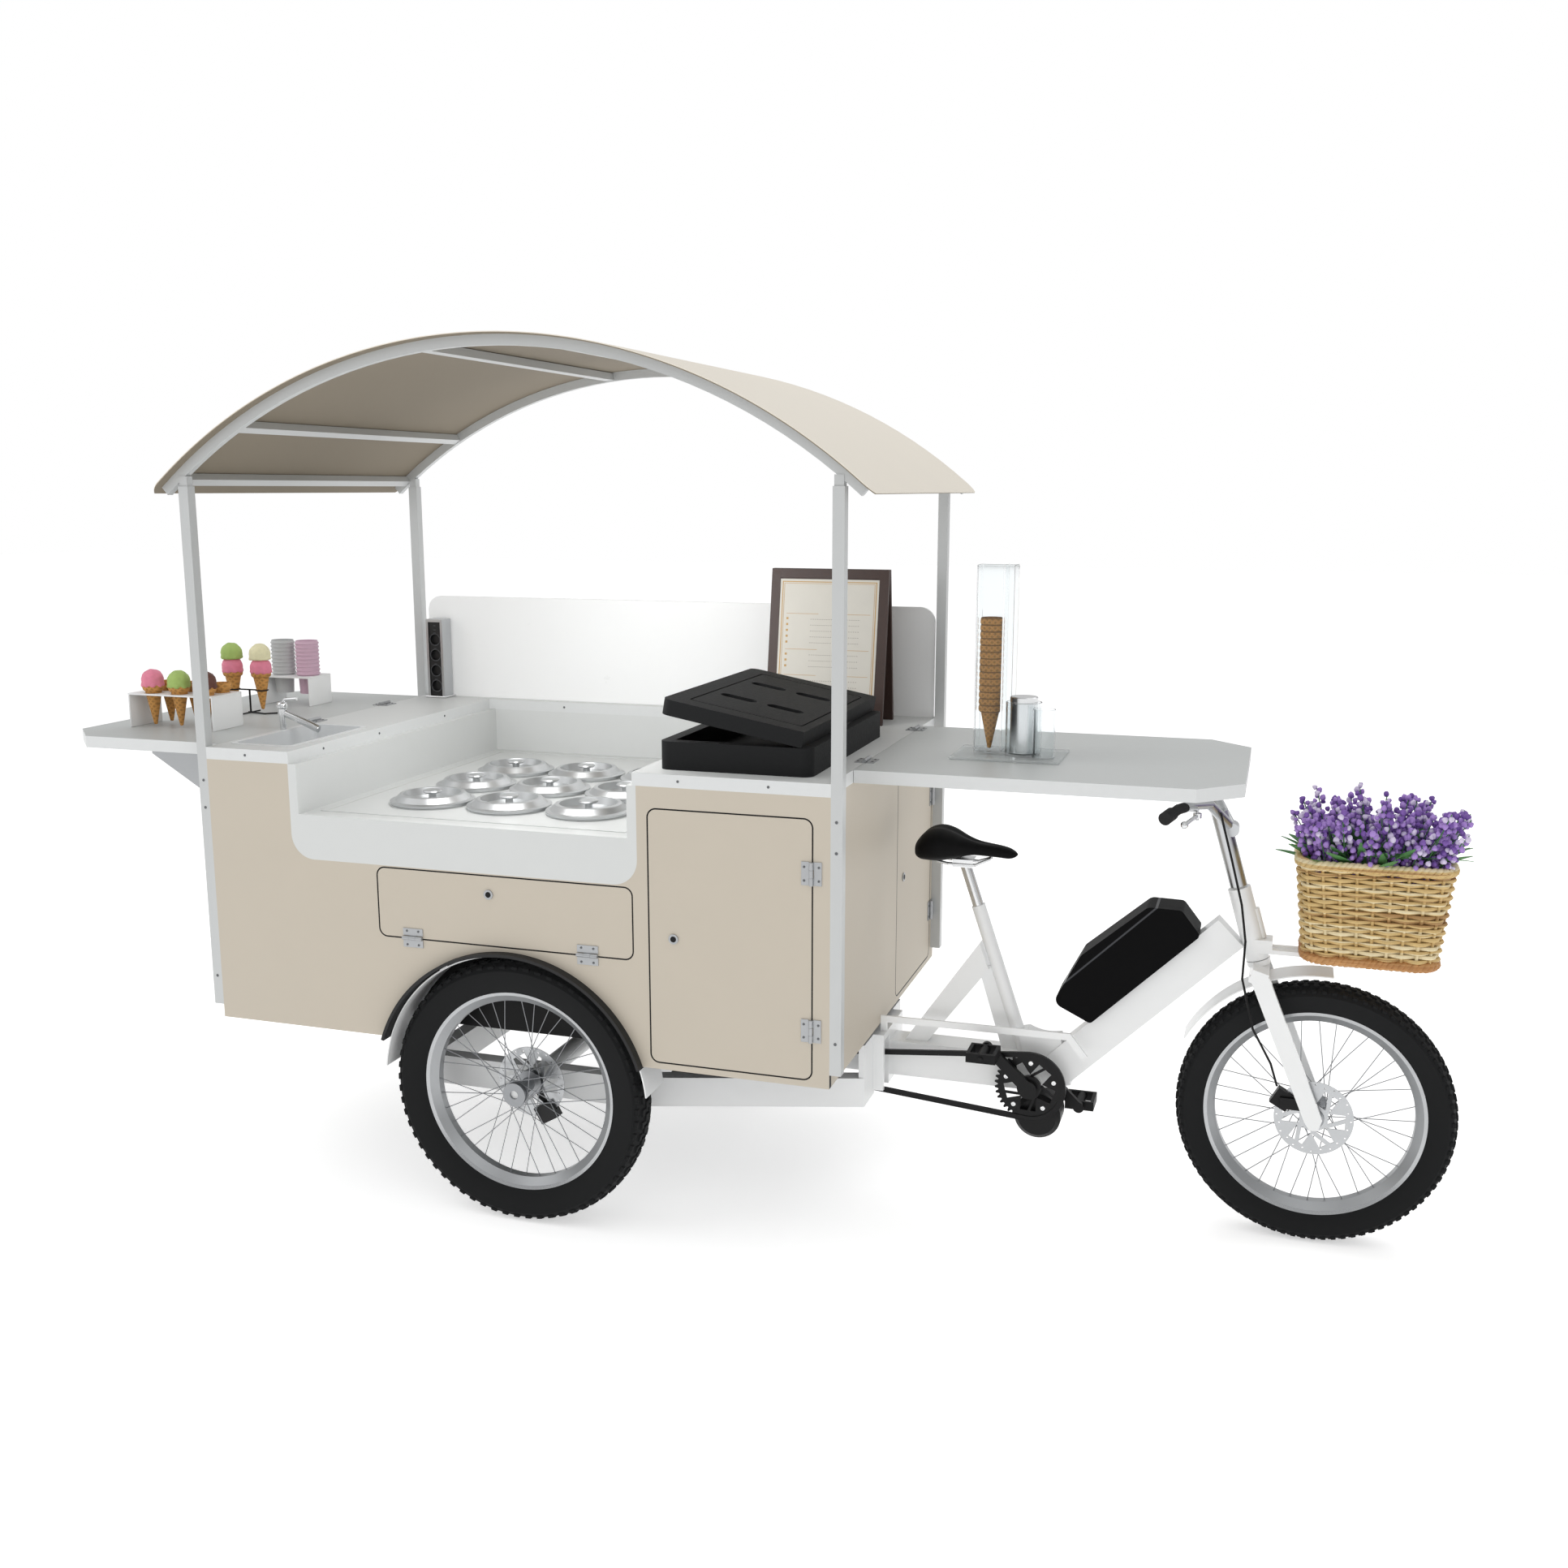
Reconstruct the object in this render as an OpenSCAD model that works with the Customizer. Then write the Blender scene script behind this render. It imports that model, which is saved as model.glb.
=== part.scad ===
// Ice cream tricycle: a service cart on two rear wheels, pushed along by a bicycle front end.
// Millimetres. X points forward, Y to the rider's left, Z up, ground at z = 0, centre plane at y = 0.

/* [Cart body] */
// Length of the body between the outer faces of its end panels
body_len = 1510; // [1450:5:1560]
// Forward face of the body
body_front = 354; // [340:1:370]
// Width over the side panels
body_w = 1000; // [960:5:1040]
// Thickness of the side and end panels
panel_t = 15; // [12:1:18]
// Height of the panels' lower edge above the ground
panel_low = 419; // [405:1:430]
// Height of the counter's upper face above the ground
counter_z = 1074; // [1060:1:1090]
// Thickness of the counter board and of both flaps
counter_t = 28; // [22:1:34]
// Thickness of the floor board
floor_t = 12; // [8:1:18]

/* [Serving well] */
// Rear edge of the well in the counter
well_rear = -935; // [-950:1:-920]
// Length of the well along the counter
well_len = 850; // [835:1:860]
// Back edge of the well, towards the rider's left
well_back = 450; // [430:1:455]
// Depth of the well's floor below the counter's top
well_depth = 144; // [130:1:155]
// Thickness of the well's white walls
well_wall = 22; // [18:1:26]
// Drop of the white apron below the well's floor
apron_drop = 104; // [95:1:108]
// Radius of the apron's lower corners
apron_r = 57; // [30:1:80]
// Thickness of the steel tub plate
plate_t = 8; // [4:1:12]

/* [Tubs and lids] */
// Diameter of a tub's round lid
lid_d = 198; // [180:1:200]
// Spacing of the tubs along the cart
tub_pitch_x = 203; // [202:1:215]
// Spacing of the tubs across the cart
tub_pitch_y = 212; // [202:1:220]
// Diameter of a tub
tub_d = 182; // [150:1:185]
// Depth of a tub below the plate
tub_h = 245; // [200:1:250]
// Height of a lid's stepped rim
lid_h = 22; // [16:1:30]
// Diameter of a lid's knob
knob_d = 46; // [34:1:60]

/* [Doors and hinges] */
// Gap round each door
door_gap = 2; // [1:0.5:4]
// Corner radius of the doors
door_r = 18; // [8:1:30]
// Width of the drop door
drop_w = 624; // [600:1:640]
// Height of the drop door
drop_h = 158; // [140:1:160]
// Forward edge of the drop door
drop_front = -90; // [-110:1:-80]
// Lower edge of the drop door
drop_low = 662; // [655:1:680]
// Width of the tall door
tall_w = 363; // [340:1:370]
// Height of the tall door and of the front door
tall_h = 561; // [540:1:575]
// Lower edge of the tall door and of the front door
tall_low = 436; // [432:1:450]
// Forward edge of the tall door
tall_front = 314; // [305:1:318]
// Width of the front door
fdoor_w = 368; // [340:1:372]
// Hinge edge of the front door, towards the rider's left
fdoor_left = 452; // [440:1:452]
// Length of a hinge along its pin
hinge_len = 50; // [40:1:60]
// Width of one hinge leaf
hinge_leaf = 22; // [16:1:26]
// Thickness of a hinge leaf
leaf_t = 2; // [1.5:0.5:3]
// Diameter of a hinge pin
hinge_pin_d = 5; // [4:0.5:6]
// Outside diameter of a hinge knuckle
knuckle_d = 9; // [8:0.5:12]
// Radial clearance of every pin and shaft in its bore
pin_clear = 0.05; // [0.02:0.01:0.09]
// Gap between parts that move past each other
run_gap = 0.5; // [0.4:0.1:1.5]

/* [Flaps] */
// Length of the front flap
fflap_len = 800; // [760:5:810]
// Width of the front flap
fflap_w = 658; // [600:2:680]
// Length of the rear flap
rflap_len = 477; // [430:1:480]
// Width of the rear flap
rflap_w = 900; // [860:2:920]
// Cut at the flaps' outer corners
flap_cut = 92; // [60:2:110]

/* [Canopy] */
// Length of the canopy sheet along the cart
canopy_len = 1689; // [1660:1:1740]
// Width of the canopy sheet
canopy_w = 1040; // [1020:5:1060]
// Rise of the canopy from its ends to its crown
canopy_rise = 326; // [300:1:350]
// Height of the canopy's ends above the ground
canopy_end_z = 1655; // [1640:1:1680]
// Thickness of the canopy sheet
sheet_t = 4; // [3:0.5:6]
// Corner radius of the canopy sheet
canopy_r = 30; // [15:1:50]
// Depth of the arch tubes
arch_h = 22; // [18:1:26]
// Side of the square post sleeves
post_s = 25; // [24:1:30]
// Wall of the post sleeves
post_wall = 2; // [1.5:0.5:2.5]
// Height of the sleeves' lower ends
post_low = 450; // [440:1:470]
// Height of the sleeves' upper ends
post_top = 1668; // [1640:1:1670]
// Length of each inner post inside its sleeve
post_in = 430; // [400:5:480]

/* [Rear wheels] */
// Rear axle's place along the cart
rear_x = -392; // [-400:1:-384]
// Outside diameter of the rear tyres
rear_d = 622; // [600:2:630]
// Distance between the rear wheels' middle planes
track = 896; // [892:1:900]
// Width of all three tyres
tyre_w = 84; // [70:1:86]
// Outside diameter of all three rims
rim_d = 472; // [450:1:476]
// Width of the rims
rim_w = 54; // [44:1:58]
// Gap from the rear tyre to the mudguard
guard_gap = 15; // [12:1:18]
// Gap from the mudguard to the panel's wheel arch
arch_gap = 10; // [8:1:12]
// Diameter of the spokes
spoke_d = 2; // [1.6:0.2:2.4]
// Number of spokes in a wheel
spoke_n = 36; // [28:4:36]
// Diameter of the brake discs
disc_d = 168; // [150:2:172]

/* [Front end] */
// Front axle's place along the cart
front_x = 1335; // [1325:1:1340]
// Outside diameter of the front tyre
front_d = 598; // [580:2:602]
// Angle of the steering axis from level
head_angle = 73.3; // [72:0.1:75]
// Height of the head tube's lower end
head_low = 640; // [636:1:650]
// Length of the head tube
head_len = 165; // [150:1:175]
// Outside diameter of the head tube
head_d = 50; // [46:1:54]
// Diameter of the steerer
steerer_d = 28; // [25:0.5:30]
// Thickness of a fork blade
blade_t = 16; // [12:1:18]
// Depth of a fork blade, seen from the side
blade_w = 42; // [34:1:46]
// Half width of the handlebar at the grips' ends
bar_half = 250; // [230:1:258]
// Diameter of the handlebar
bar_d = 22; // [20:1:24]

/* [Drive] */
// Bottom bracket's place along the cart
crank_x = 710; // [705:1:715]
// Height of the bottom bracket
crank_z = 301; // [297:1:305]
// Teeth on the chainring
ring_teeth = 38; // [36:1:40]
// Teeth on the drive sprocket under the cart
sprocket_teeth = 16; // [14:1:17]
// Chain pitch
chain_pitch = 12.7; // [12.5:0.1:12.9]
// Distance of the chain line from the centre plane
chain_y = 60; // [58:1:64]
// Drive sprocket's place along the cart
sprocket_x = 211; // [200:1:220]
// Length of a crank from axis to axis
crank_len = 134; // [128:1:140]
// Diameter of the motor
motor_d = 108; // [100:1:112]

/* [Seat] */
// Diameter of the seat post
seatpost_d = 26; // [24:0.5:28]
// Diameter of the seat tube
seat_tube_d = 32; // [31:1:36]
// Length of the saddle
saddle_len = 240; // [225:1:245]
// Width of the saddle
saddle_w = 150; // [130:1:158]

/* [Basket] */
// Length of the basket at its rim
basket_len = 318; // [300:1:325]
// Width of the basket at its rim
basket_w = 226; // [200:1:235]
// Height of the basket
basket_h = 222; // [205:1:235]
// Thickness of the basket's wall
basket_wall = 10; // [7:1:14]

/* [Hidden] */
LIDS = [for (i = [1 : 9]) str("lid_", i)];
$fn = 64;

white_paint = [0.90, 0.91, 0.91];
beige = [0.78, 0.74, 0.68];
steel = [0.75, 0.76, 0.77];
black = [0.07, 0.07, 0.08];
wafer = [0.76, 0.55, 0.28];
grey_metal = [0.74, 0.75, 0.75];

// Body
half_w = body_w / 2;
// How far the sides and the rear end have moved from their usual place
side_shift = half_w - 500;
rear_shift = 1510 - body_len;
body_rear = body_front - body_len;
body_mid = (body_front + body_rear) / 2;
counter_low = counter_z - counter_t;
floor_top = panel_low + 14;
well_x0 = well_rear + rear_shift + body_front - 354;
well_l = well_len - rear_shift;
well_y1 = well_back + side_shift;
fit_x = well_l / well_len;
fit_y = (well_y1 + half_w - well_wall) / (well_back + 500 - well_wall);
fit = min(fit_x, fit_y, 1);
lid_dia = lid_d * fit;
tub_dia = tub_d * fit;
pitch_x = tub_pitch_x * fit_x;
pitch_y = tub_pitch_y * fit_y;
fdoor_y = fdoor_left + side_shift;
rflap_y = rflap_w + 2 * side_shift;
canopy_y = canopy_w + 2 * side_shift;
well_front = well_x0 + well_l;
well_z = counter_z - well_depth;
apron_low = well_z - apron_drop;
wall_step = 2;
well_in_rear = well_x0 - wall_step + well_wall;
well_in_front = well_front + 9 - well_wall;

// Tubs
tub_mid_x = well_front - 405 * fit_x;
tub_mid_y = -72 * fit_y;
tub_lip = 6;
tub_lip_t = 2;
seat_gap = 0.05;
lid_z = well_z + seat_gap + tub_lip_t + run_gap;

// Rear wheels
rear_r = rear_d / 2;
guard_r = rear_r + guard_gap;
guard_t = 3;
arch_r = guard_r + guard_t + arch_gap;
trim_t = 7;
trim_out = 22;
axle_r = 10;
hub_half = 46;
wheel_y = track / 2 + side_shift;
flange_r = 30;
hub_r = 22;
rim_r = rim_d / 2;
rim_h = 24;
disc_t = 2;
disc_at = 42;
well_clear = 20;
well_half = arch_r + 6;
well_in_y = wheel_y - tyre_w / 2 - well_clear - 8;
well_top = rear_r + arch_r + 12;

// Canopy
canopy_half = canopy_len / 2;
canopy_rad = (canopy_half * canopy_half + canopy_rise * canopy_rise) / (2 * canopy_rise);
canopy_cz = canopy_end_z + canopy_rise - canopy_rad;
canopy_half_angle = asin(canopy_half / canopy_rad);
arch_out = canopy_rad - sheet_t;
arch_in = arch_out - arch_h;
inner_s = post_s - 2 * post_wall - 2 * run_gap;
post_y = half_w - post_s / 2;
rear_post_x = body_rear - post_s / 2;
front_post_x = body_front + post_s / 2;

// Front end
front_r = front_d / 2;
front_axle_r = 6;
axis_dir = [cos(head_angle), 0, -sin(head_angle)];
head_bottom = [1197, 0, head_low];
head_top = head_bottom - head_len * axis_dir;
stem_top = head_top - 150 * axis_dir;
crown_at = head_bottom + 22 * axis_dir;
blade_y = 62;
bar_at = [stem_top[0] + 22, 0, stem_top[2] - 12];
lever_x = 1060;
lever_y = 168;
lever_pin_r = 3;

// Drive
ring_r = chain_pitch / (2 * sin(180 / ring_teeth));
sprocket_r = chain_pitch / (2 * sin(180 / sprocket_teeth));
sprocket_z = crank_z - 2;
jack_r = 6;
ring_t = 3;
crank_angle = 137.7;
spindle_r = 11;
pedal_pin_r = 5;

// Seat: the seat tube leans back at this slope from the bottom bracket
seat_dir = [-0.325, 0, 0.946];
seat_tube_len = 420;
seat_low = [crank_x, 0, crank_z] + 12 * seat_dir;
seat_collar = seat_low + seat_tube_len * seat_dir;
post_out = 108;
seat_top = seat_collar + post_out * seat_dir;

// Down tube and battery
down_u = [0.715, 0, 0.699];
down_n = [-0.699, 0, 0.715];
down_w = 50;
down_h = 80;
battery_w = 96;

// Goods on the flaps
goods_z = counter_z + run_gap;
basket_mid = [1424, 0];
basket_low = 668;

// Shapes used more than once
module box(lo, hi) {
  translate(lo) cube(hi - lo);
}

module rod(p, q, r) {
  d = q - p;
  len = norm(d);
  translate(p) rotate([0, acos(d[2] / len), atan2(d[1], d[0])]) cylinder(h = len, r = r);
}

module bent_rod(points, r) {
  for (i = [0 : len(points) - 2]) rod(points[i], points[i + 1], r);
  for (i = [1 : len(points) - 2]) translate(points[i]) sphere(r = r + 0.2);
}

module xz_plate(y0, y1) {
  translate([0, y1, 0]) rotate([90, 0, 0]) linear_extrude(y1 - y0) children();
}

module yz_plate(x0, x1) {
  translate([x0, 0, 0]) rotate([90, 0, 90]) linear_extrude(x1 - x0) children();
}

module revolve_y(x, y, z) {
  translate([x, y, z]) rotate([-90, 0, 0]) rotate_extrude() children();
}

module rrect(x0, z0, x1, z1, r) {
  translate([x0 + r, z0]) square([x1 - x0 - 2 * r, z1 - z0]);
  translate([x0, z0 + r]) square([x1 - x0, z1 - z0 - 2 * r]);
  for (x = [x0 + r, x1 - r], z = [z0 + r, z1 - r]) translate([x, z]) circle(r = r);
}

module arc_bar(x, z, r0, r1, a0, a1, y0, y1) {
  translate([x, 0, z]) rotate([90, 0, 0]) rotate([0, 0, a0])
    rotate_extrude(angle = a1 - a0, $fn = 240)
    translate([r0, -y1]) square([r1 - r0, y1 - y0]);
}

module both_sides() {
  children();
  mirror([0, 1, 0]) children();
}

// One hinge, drawn with its pin along Z, the fixed leaf to +X and the moving leaf to -X, faces at y = 0
module hinge_fixed() {
  third = hinge_len / 3;
  r = knuckle_d / 2;
  translate([0, -r, 0]) cylinder(h = hinge_len, r = hinge_pin_d / 2);
  for (z = [0, hinge_len - third]) translate([0, 0, z]) {
    translate([0, -r, 0]) cylinder(h = third - run_gap, r = r);
    translate([0, -leaf_t, 0]) cube([hinge_leaf, leaf_t, third - run_gap]);
  }
  translate([r + 1, -leaf_t, 0]) cube([hinge_leaf - r - 1, leaf_t, hinge_len]);
}

module hinge_moving() {
  third = hinge_len / 3;
  r = knuckle_d / 2;
  difference() {
    union() {
      translate([0, -r, third]) cylinder(h = third - run_gap, r = r);
      translate([-hinge_leaf, -leaf_t, third]) cube([hinge_leaf, leaf_t, third - run_gap]);
      translate([-hinge_leaf, -leaf_t, 0]) cube([hinge_leaf - r - 1, leaf_t, hinge_len]);
    }
    translate([0, -r, -1]) cylinder(h = hinge_len + 2, r = hinge_pin_d / 2 + pin_clear);
  }
}

// Hinge places: tall door, drop door, front door and the two flaps
module at_tall_hinges() {
  for (z = [tall_low + 83, tall_low + tall_h - 138]) translate([tall_front, -half_w, z]) children();
}

module at_drop_hinges() {
  for (x = [drop_front - 106, drop_front - drop_w + 85])
    translate([x, -half_w, drop_low]) rotate([0, 90, 0]) translate([0, 0, -hinge_len / 2]) children();
}

module at_front_door_hinges() {
  for (z = [tall_low + 100, tall_low + tall_h - 150])
    translate([body_front, fdoor_y, z]) rotate([0, 0, 90]) children();
}

module at_front_flap_hinges() {
  for (y = [-215, 265]) translate([body_front, y + hinge_len / 2, counter_z])
    rotate([90, 0, 0]) mirror([0, 1, 0]) mirror([1, 0, 0]) children();
}

module at_rear_flap_hinges() {
  for (y = [-72 * fit_y, 258 * fit_y]) translate([body_rear, y + hinge_len / 2, counter_z])
    rotate([90, 0, 0]) mirror([0, 1, 0]) children();
}

// Chassis: rails that close in towards the bicycle, cross members, axle and brake calipers
rail_mid_y = 320 + side_shift;
module chassis_rail() {
  rail_y = rail_mid_y;
  nose_y = 155;
  bend_x = -185;
  rail_w = 40;
  rail_low = 250;
  rail_h = 70;
  nose_x = body_front - 9;
  tail_x = rear_x - 332;
  translate([0, 0, rail_low]) linear_extrude(rail_h) polygon([
    [tail_x, rail_y - rail_w / 2], [bend_x, rail_y - rail_w / 2],
    [nose_x, nose_y - rail_w / 2], [nose_x, nose_y + rail_w / 2],
    [bend_x, rail_y + rail_w / 2], [tail_x, rail_y + rail_w / 2]]);
  for (p = [[tail_x + 20, rail_y], [bend_x, rail_y], [nose_x - 95, nose_y + 30]])
    box([p[0] - 20, p[1] - 15, rail_low + rail_h], [p[0] + 20, p[1] + 15, floor_top - floor_t]);
}

module caliper(r_in, r_out, side_in, side_out) {
  difference() {
    box([r_in, side_in, -24], [r_out, side_out, 24]);
    rotate([90, 0, 0]) translate([0, 0, -1000]) cylinder(h = 2000, r = hub_r + 12);
    translate([0, -disc_at - disc_t / 2 - 1, 0]) rotate([-90, 0, 0])
      cylinder(h = disc_t + 2, r = disc_d / 2 + 2);
  }
}

module chassis() {
  color(white_paint) {
    both_sides() chassis_rail();
    box([rear_x - 332, 20 - rail_mid_y, 250], [rear_x - 292, rail_mid_y - 20, 320]);
    box([-205, 20 - rail_mid_y, 250], [-165, rail_mid_y - 20, 320]);
    difference() {
      box([body_front - 23, -175, 250], [body_front - 9, 175, 400]);
      box([body_front - 30, -chain_y - 24, 240], [body_front, -chain_y + 24, 385]);
    }
    box([sprocket_x - 20, 2, sprocket_z - 30], [body_front - 9, 22, sprocket_z + 30]);
    rod([sprocket_x, -chain_y - 12, sprocket_z], [sprocket_x, 12, sprocket_z], jack_r);
    translate([rear_x, 0, rear_r]) rotate([90, 0, 0])
      cylinder(h = 2 * (wheel_y - hub_half - 2), r = 24, center = true);
    translate([rear_x, 0, rear_r]) rotate([90, 0, 0])
      cylinder(h = 2 * (wheel_y + hub_half - 6), r = axle_r, center = true);
  }
  color(black) for (side = [-1, 1]) translate([rear_x, side * wheel_y, rear_r])
    mirror([0, side > 0 ? 1 : 0, 0]) mirror([0, 1, 0]) rotate([0, 60, 0]) {
      caliper(58, disc_d / 2 + 16, -disc_at - 14, -disc_at + 11);
      box([20, -disc_at - 14, -10], [60, -disc_at - 8, 10]);
    }
}

// Floor board with a raised box over each rear wheel
module floor_tray() {
  wall = 4;
  well_x0 = rear_x - well_half;
  well_x1 = rear_x + well_half;
  in_y = half_w - panel_t;
  color([0.12, 0.12, 0.12]) difference() {
    union() {
      box([body_rear + panel_t, -in_y, floor_top - floor_t], [body_front - panel_t, in_y, floor_top]);
      both_sides() box([well_x0, well_in_y, floor_top - floor_t], [well_x1, in_y, well_top]);
    }
    both_sides() box([well_x0 + wall, well_in_y + wall, 0], [well_x1 - wall, in_y + 1, well_top - wall]);
  }
}

module side_outline() {
  difference() {
    translate([body_rear, panel_low]) square([body_len, counter_low - panel_low]);
    translate([rear_x, rear_r]) circle(r = arch_r);
  }
}

module apron_outline() {
  x0 = well_x0 - wall_step;
  x1 = well_front + 9;
  translate([x0, apron_low + apron_r]) square([x1 - x0, counter_low - apron_low - apron_r]);
  translate([x0 + apron_r, apron_low]) square([x1 - x0 - 2 * apron_r, apron_r + 1]);
  for (x = [x0 + apron_r, x1 - apron_r]) translate([x, apron_low + apron_r]) circle(r = apron_r);
}

module drop_outline(grow) {
  rrect(drop_front - drop_w - grow, drop_low - grow, drop_front + grow, drop_low + drop_h + grow,
    door_r + grow);
}

module tall_outline(grow) {
  rrect(tall_front - tall_w - grow, tall_low - grow, tall_front + grow, tall_low + tall_h + grow,
    door_r + grow);
}

module front_door_outline(grow) {
  rrect(fdoor_y - fdoor_w - grow, tall_low - grow, fdoor_y + grow, tall_low + tall_h + grow,
    door_r + grow);
}

module right_panel() {
  color(beige) xz_plate(-half_w, -half_w + panel_t) difference() {
    side_outline();
    apron_outline();
    drop_outline(door_gap);
    tall_outline(door_gap);
  }
}

module left_panel() {
  color(beige) xz_plate(half_w - panel_t, half_w) side_outline();
}

module end_panels() {
  in_y = half_w - panel_t;
  color(beige) {
    yz_plate(body_rear, body_rear + panel_t)
      translate([-in_y, panel_low]) square([2 * in_y, counter_low - panel_low]);
    yz_plate(body_front - panel_t, body_front) difference() {
      translate([-in_y, panel_low]) square([2 * in_y, counter_low - panel_low]);
      front_door_outline(door_gap);
    }
  }
}

// White mudguards over the rear tyres, and the black lips round the panels' wheel arches
module mudguards() {
  guard_y0 = wheel_y - tyre_w / 2 - 8;
  foot = acos((rear_r - panel_low + 2) / arch_r) - 90;
  both_sides() {
    color(white_paint)
      arc_bar(rear_x, rear_r, guard_r, guard_r + guard_t, 6, 174, guard_y0, half_w - 3);
    color(black) arc_bar(rear_x, rear_r, arch_r - trim_t, arch_r, foot, 180 - foot,
      half_w - panel_t, half_w + trim_out);
  }
  color(white_paint) both_sides() for (a = [60, 120])
    arc_bar(rear_x, rear_r, guard_r + guard_t, arch_r - trim_t, a - 2, a + 2, half_w - panel_t, half_w - 3);
}

module post_sleeves() {
  s = post_s / 2;
  hole = post_s / 2 - post_wall;
  color(grey_metal) for (x = [rear_post_x, front_post_x], y = [-post_y, post_y]) difference() {
    box([x - s, y - s, post_low], [x + s, y + s, post_top]);
    box([x - hole, y - hole, post_low - 1], [x + hole, y + hole, post_top + 1]);
  }
}

// Counter board with the well, the sink and the socket tower cut out
sink_lo = [body_rear + 27, 65 - half_w];
sink_hi = [body_rear + 181, -122 * fit_y];
sink_r = 16;
sink_depth = 125;
sink_wall = 2;
sink_lip = 8;
sink_lip_t = 1.5;
tower_lo = [body_rear + 38, half_w - 70];
tower_s = [52, 48];
tower_h = 224;
tower_sunk = 40;

module counter_top() {
  color(white_paint) translate([0, 0, counter_low]) linear_extrude(counter_t) difference() {
    translate([body_rear, -half_w]) square([body_len, body_w]);
    translate([well_x0, -half_w - 1]) square([well_l, half_w + 1 + well_y1]);
    rrect(sink_lo[0], sink_lo[1], sink_hi[0], sink_hi[1], sink_r);
    translate(tower_lo - [run_gap, run_gap]) square(tower_s + 2 * [run_gap, run_gap]);
  }
}

module well_liner() {
  back_t = 12;
  color(white_paint) {
    xz_plate(-half_w, -half_w + well_wall) difference() {
      apron_outline();
      translate([well_in_rear, well_z]) square([well_in_front - well_in_rear, well_depth]);
    }
    for (x = [well_x0 - wall_step, well_in_front])
      box([x, -half_w + well_wall, well_z - plate_t], [x + well_wall, well_y1, counter_low]);
    box([well_x0 - wall_step, well_y1, well_z - plate_t],
      [well_front + 9, well_y1 + back_t, counter_low]);
  }
}

module at_tub(i) {
  col = floor((i - 1) / 3) - 1;
  row = (i - 1) % 3 - 1;
  translate([tub_mid_x + col * pitch_x, tub_mid_y + row * pitch_y, 0]) children();
}

// Steel plate with a raised border; each tub hangs in it by its lip and is stored full
module tub_rack() {
  border = 26;
  edge = 12;
  x0 = well_in_rear;
  x1 = well_in_front;
  y0 = -half_w + well_wall;
  color(steel) {
    difference() {
      union() {
        box([x0, y0, well_z - plate_t], [x1, well_y1, well_z]);
        difference() {
          box([x0 + border, y0 + border, well_z], [x1 - border, well_y1 - border, well_z + 1.5]);
          box([x0 + border + edge, y0 + border + edge, well_z - 1],
            [x1 - border - edge, well_y1 - border - edge, well_z + 3]);
        }
      }
      for (i = [1 : 9]) at_tub(i)
        translate([0, 0, well_z - 50]) cylinder(h = 100, r = tub_dia / 2 + run_gap);
    }
    for (i = [1 : 9]) at_tub(i) translate([0, 0, well_z]) rotate_extrude() polygon([
      [0, -tub_h], [tub_dia / 2 - 4, -tub_h], [tub_dia / 2, -tub_h + 4], [tub_dia / 2, seat_gap],
      [tub_dia / 2 + tub_lip, seat_gap], [tub_dia / 2 + tub_lip, seat_gap + tub_lip_t],
      [tub_dia / 2 - 3, seat_gap + tub_lip_t], [tub_dia / 2 - 3, -14], [0, -10]]);
  }
}

// Round lid: stepped rim, dished top and a knob on a short neck
module tub_lid() {
  r = lid_dia / 2;
  dish = r - 32;
  color(steel) translate([0, 0, lid_z]) rotate_extrude() polygon([
    [0, 0], [r - 2, 0], [r, 2], [r, 7], [r - 10, 9], [r - 22, lid_h - 1], [r - 25, lid_h],
    [dish, lid_h], [dish - 6, 6], [9, 5], [9, lid_h - 3], [knob_d / 2 - 3, lid_h],
    [knob_d / 2, lid_h + 3], [knob_d / 2 - 2, lid_h + 6], [0, lid_h + 8]]);
}

module sink_bowl() {
  lo = sink_lo;
  hi = sink_hi;
  w = run_gap + sink_wall;
  color(steel) difference() {
    union() {
      translate([0, 0, counter_z - sink_depth]) linear_extrude(sink_depth)
        rrect(lo[0] + run_gap, lo[1] + run_gap, hi[0] - run_gap, hi[1] - run_gap, sink_r);
      translate([0, 0, counter_z]) linear_extrude(sink_lip_t)
        rrect(lo[0] - sink_lip, lo[1] - sink_lip, hi[0] + sink_lip, hi[1] + sink_lip, sink_r);
    }
    translate([0, 0, counter_z - sink_depth + sink_wall]) linear_extrude(sink_depth + 20)
      rrect(lo[0] + w, lo[1] + w, hi[0] - w, hi[1] - w, sink_r);
  }
}

// Tap on the counter behind the sink, with a short spout over the bowl
tap_at = [body_rear + 10.5, -218 * fit_y];
tap_post_r = 8;
module tap() {
  base_z = counter_z + run_gap;
  top = [tap_at[0], tap_at[1], counter_z + 44];
  color(steel) {
    translate([tap_at[0], tap_at[1], base_z]) cylinder(h = 46, r = tap_post_r);
    translate([tap_at[0], tap_at[1], base_z + 36]) cylinder(h = 16, r = 11);
    rod(top, top + [102, 0, -40], 7.5);
  }
}

module back_splash() {
  splash_rear = body_rear + 19;
  splash_front = body_front - 5;
  splash_h = 287;
  color([0.95, 0.95, 0.95]) xz_plate(half_w - 18, half_w - 8)
    difference() {
      rrect(splash_rear, counter_z - 60, splash_front, counter_z + splash_h, 40);
      translate([body_rear, counter_z - 200]) square([body_len, 200]);
    }
}

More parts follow.
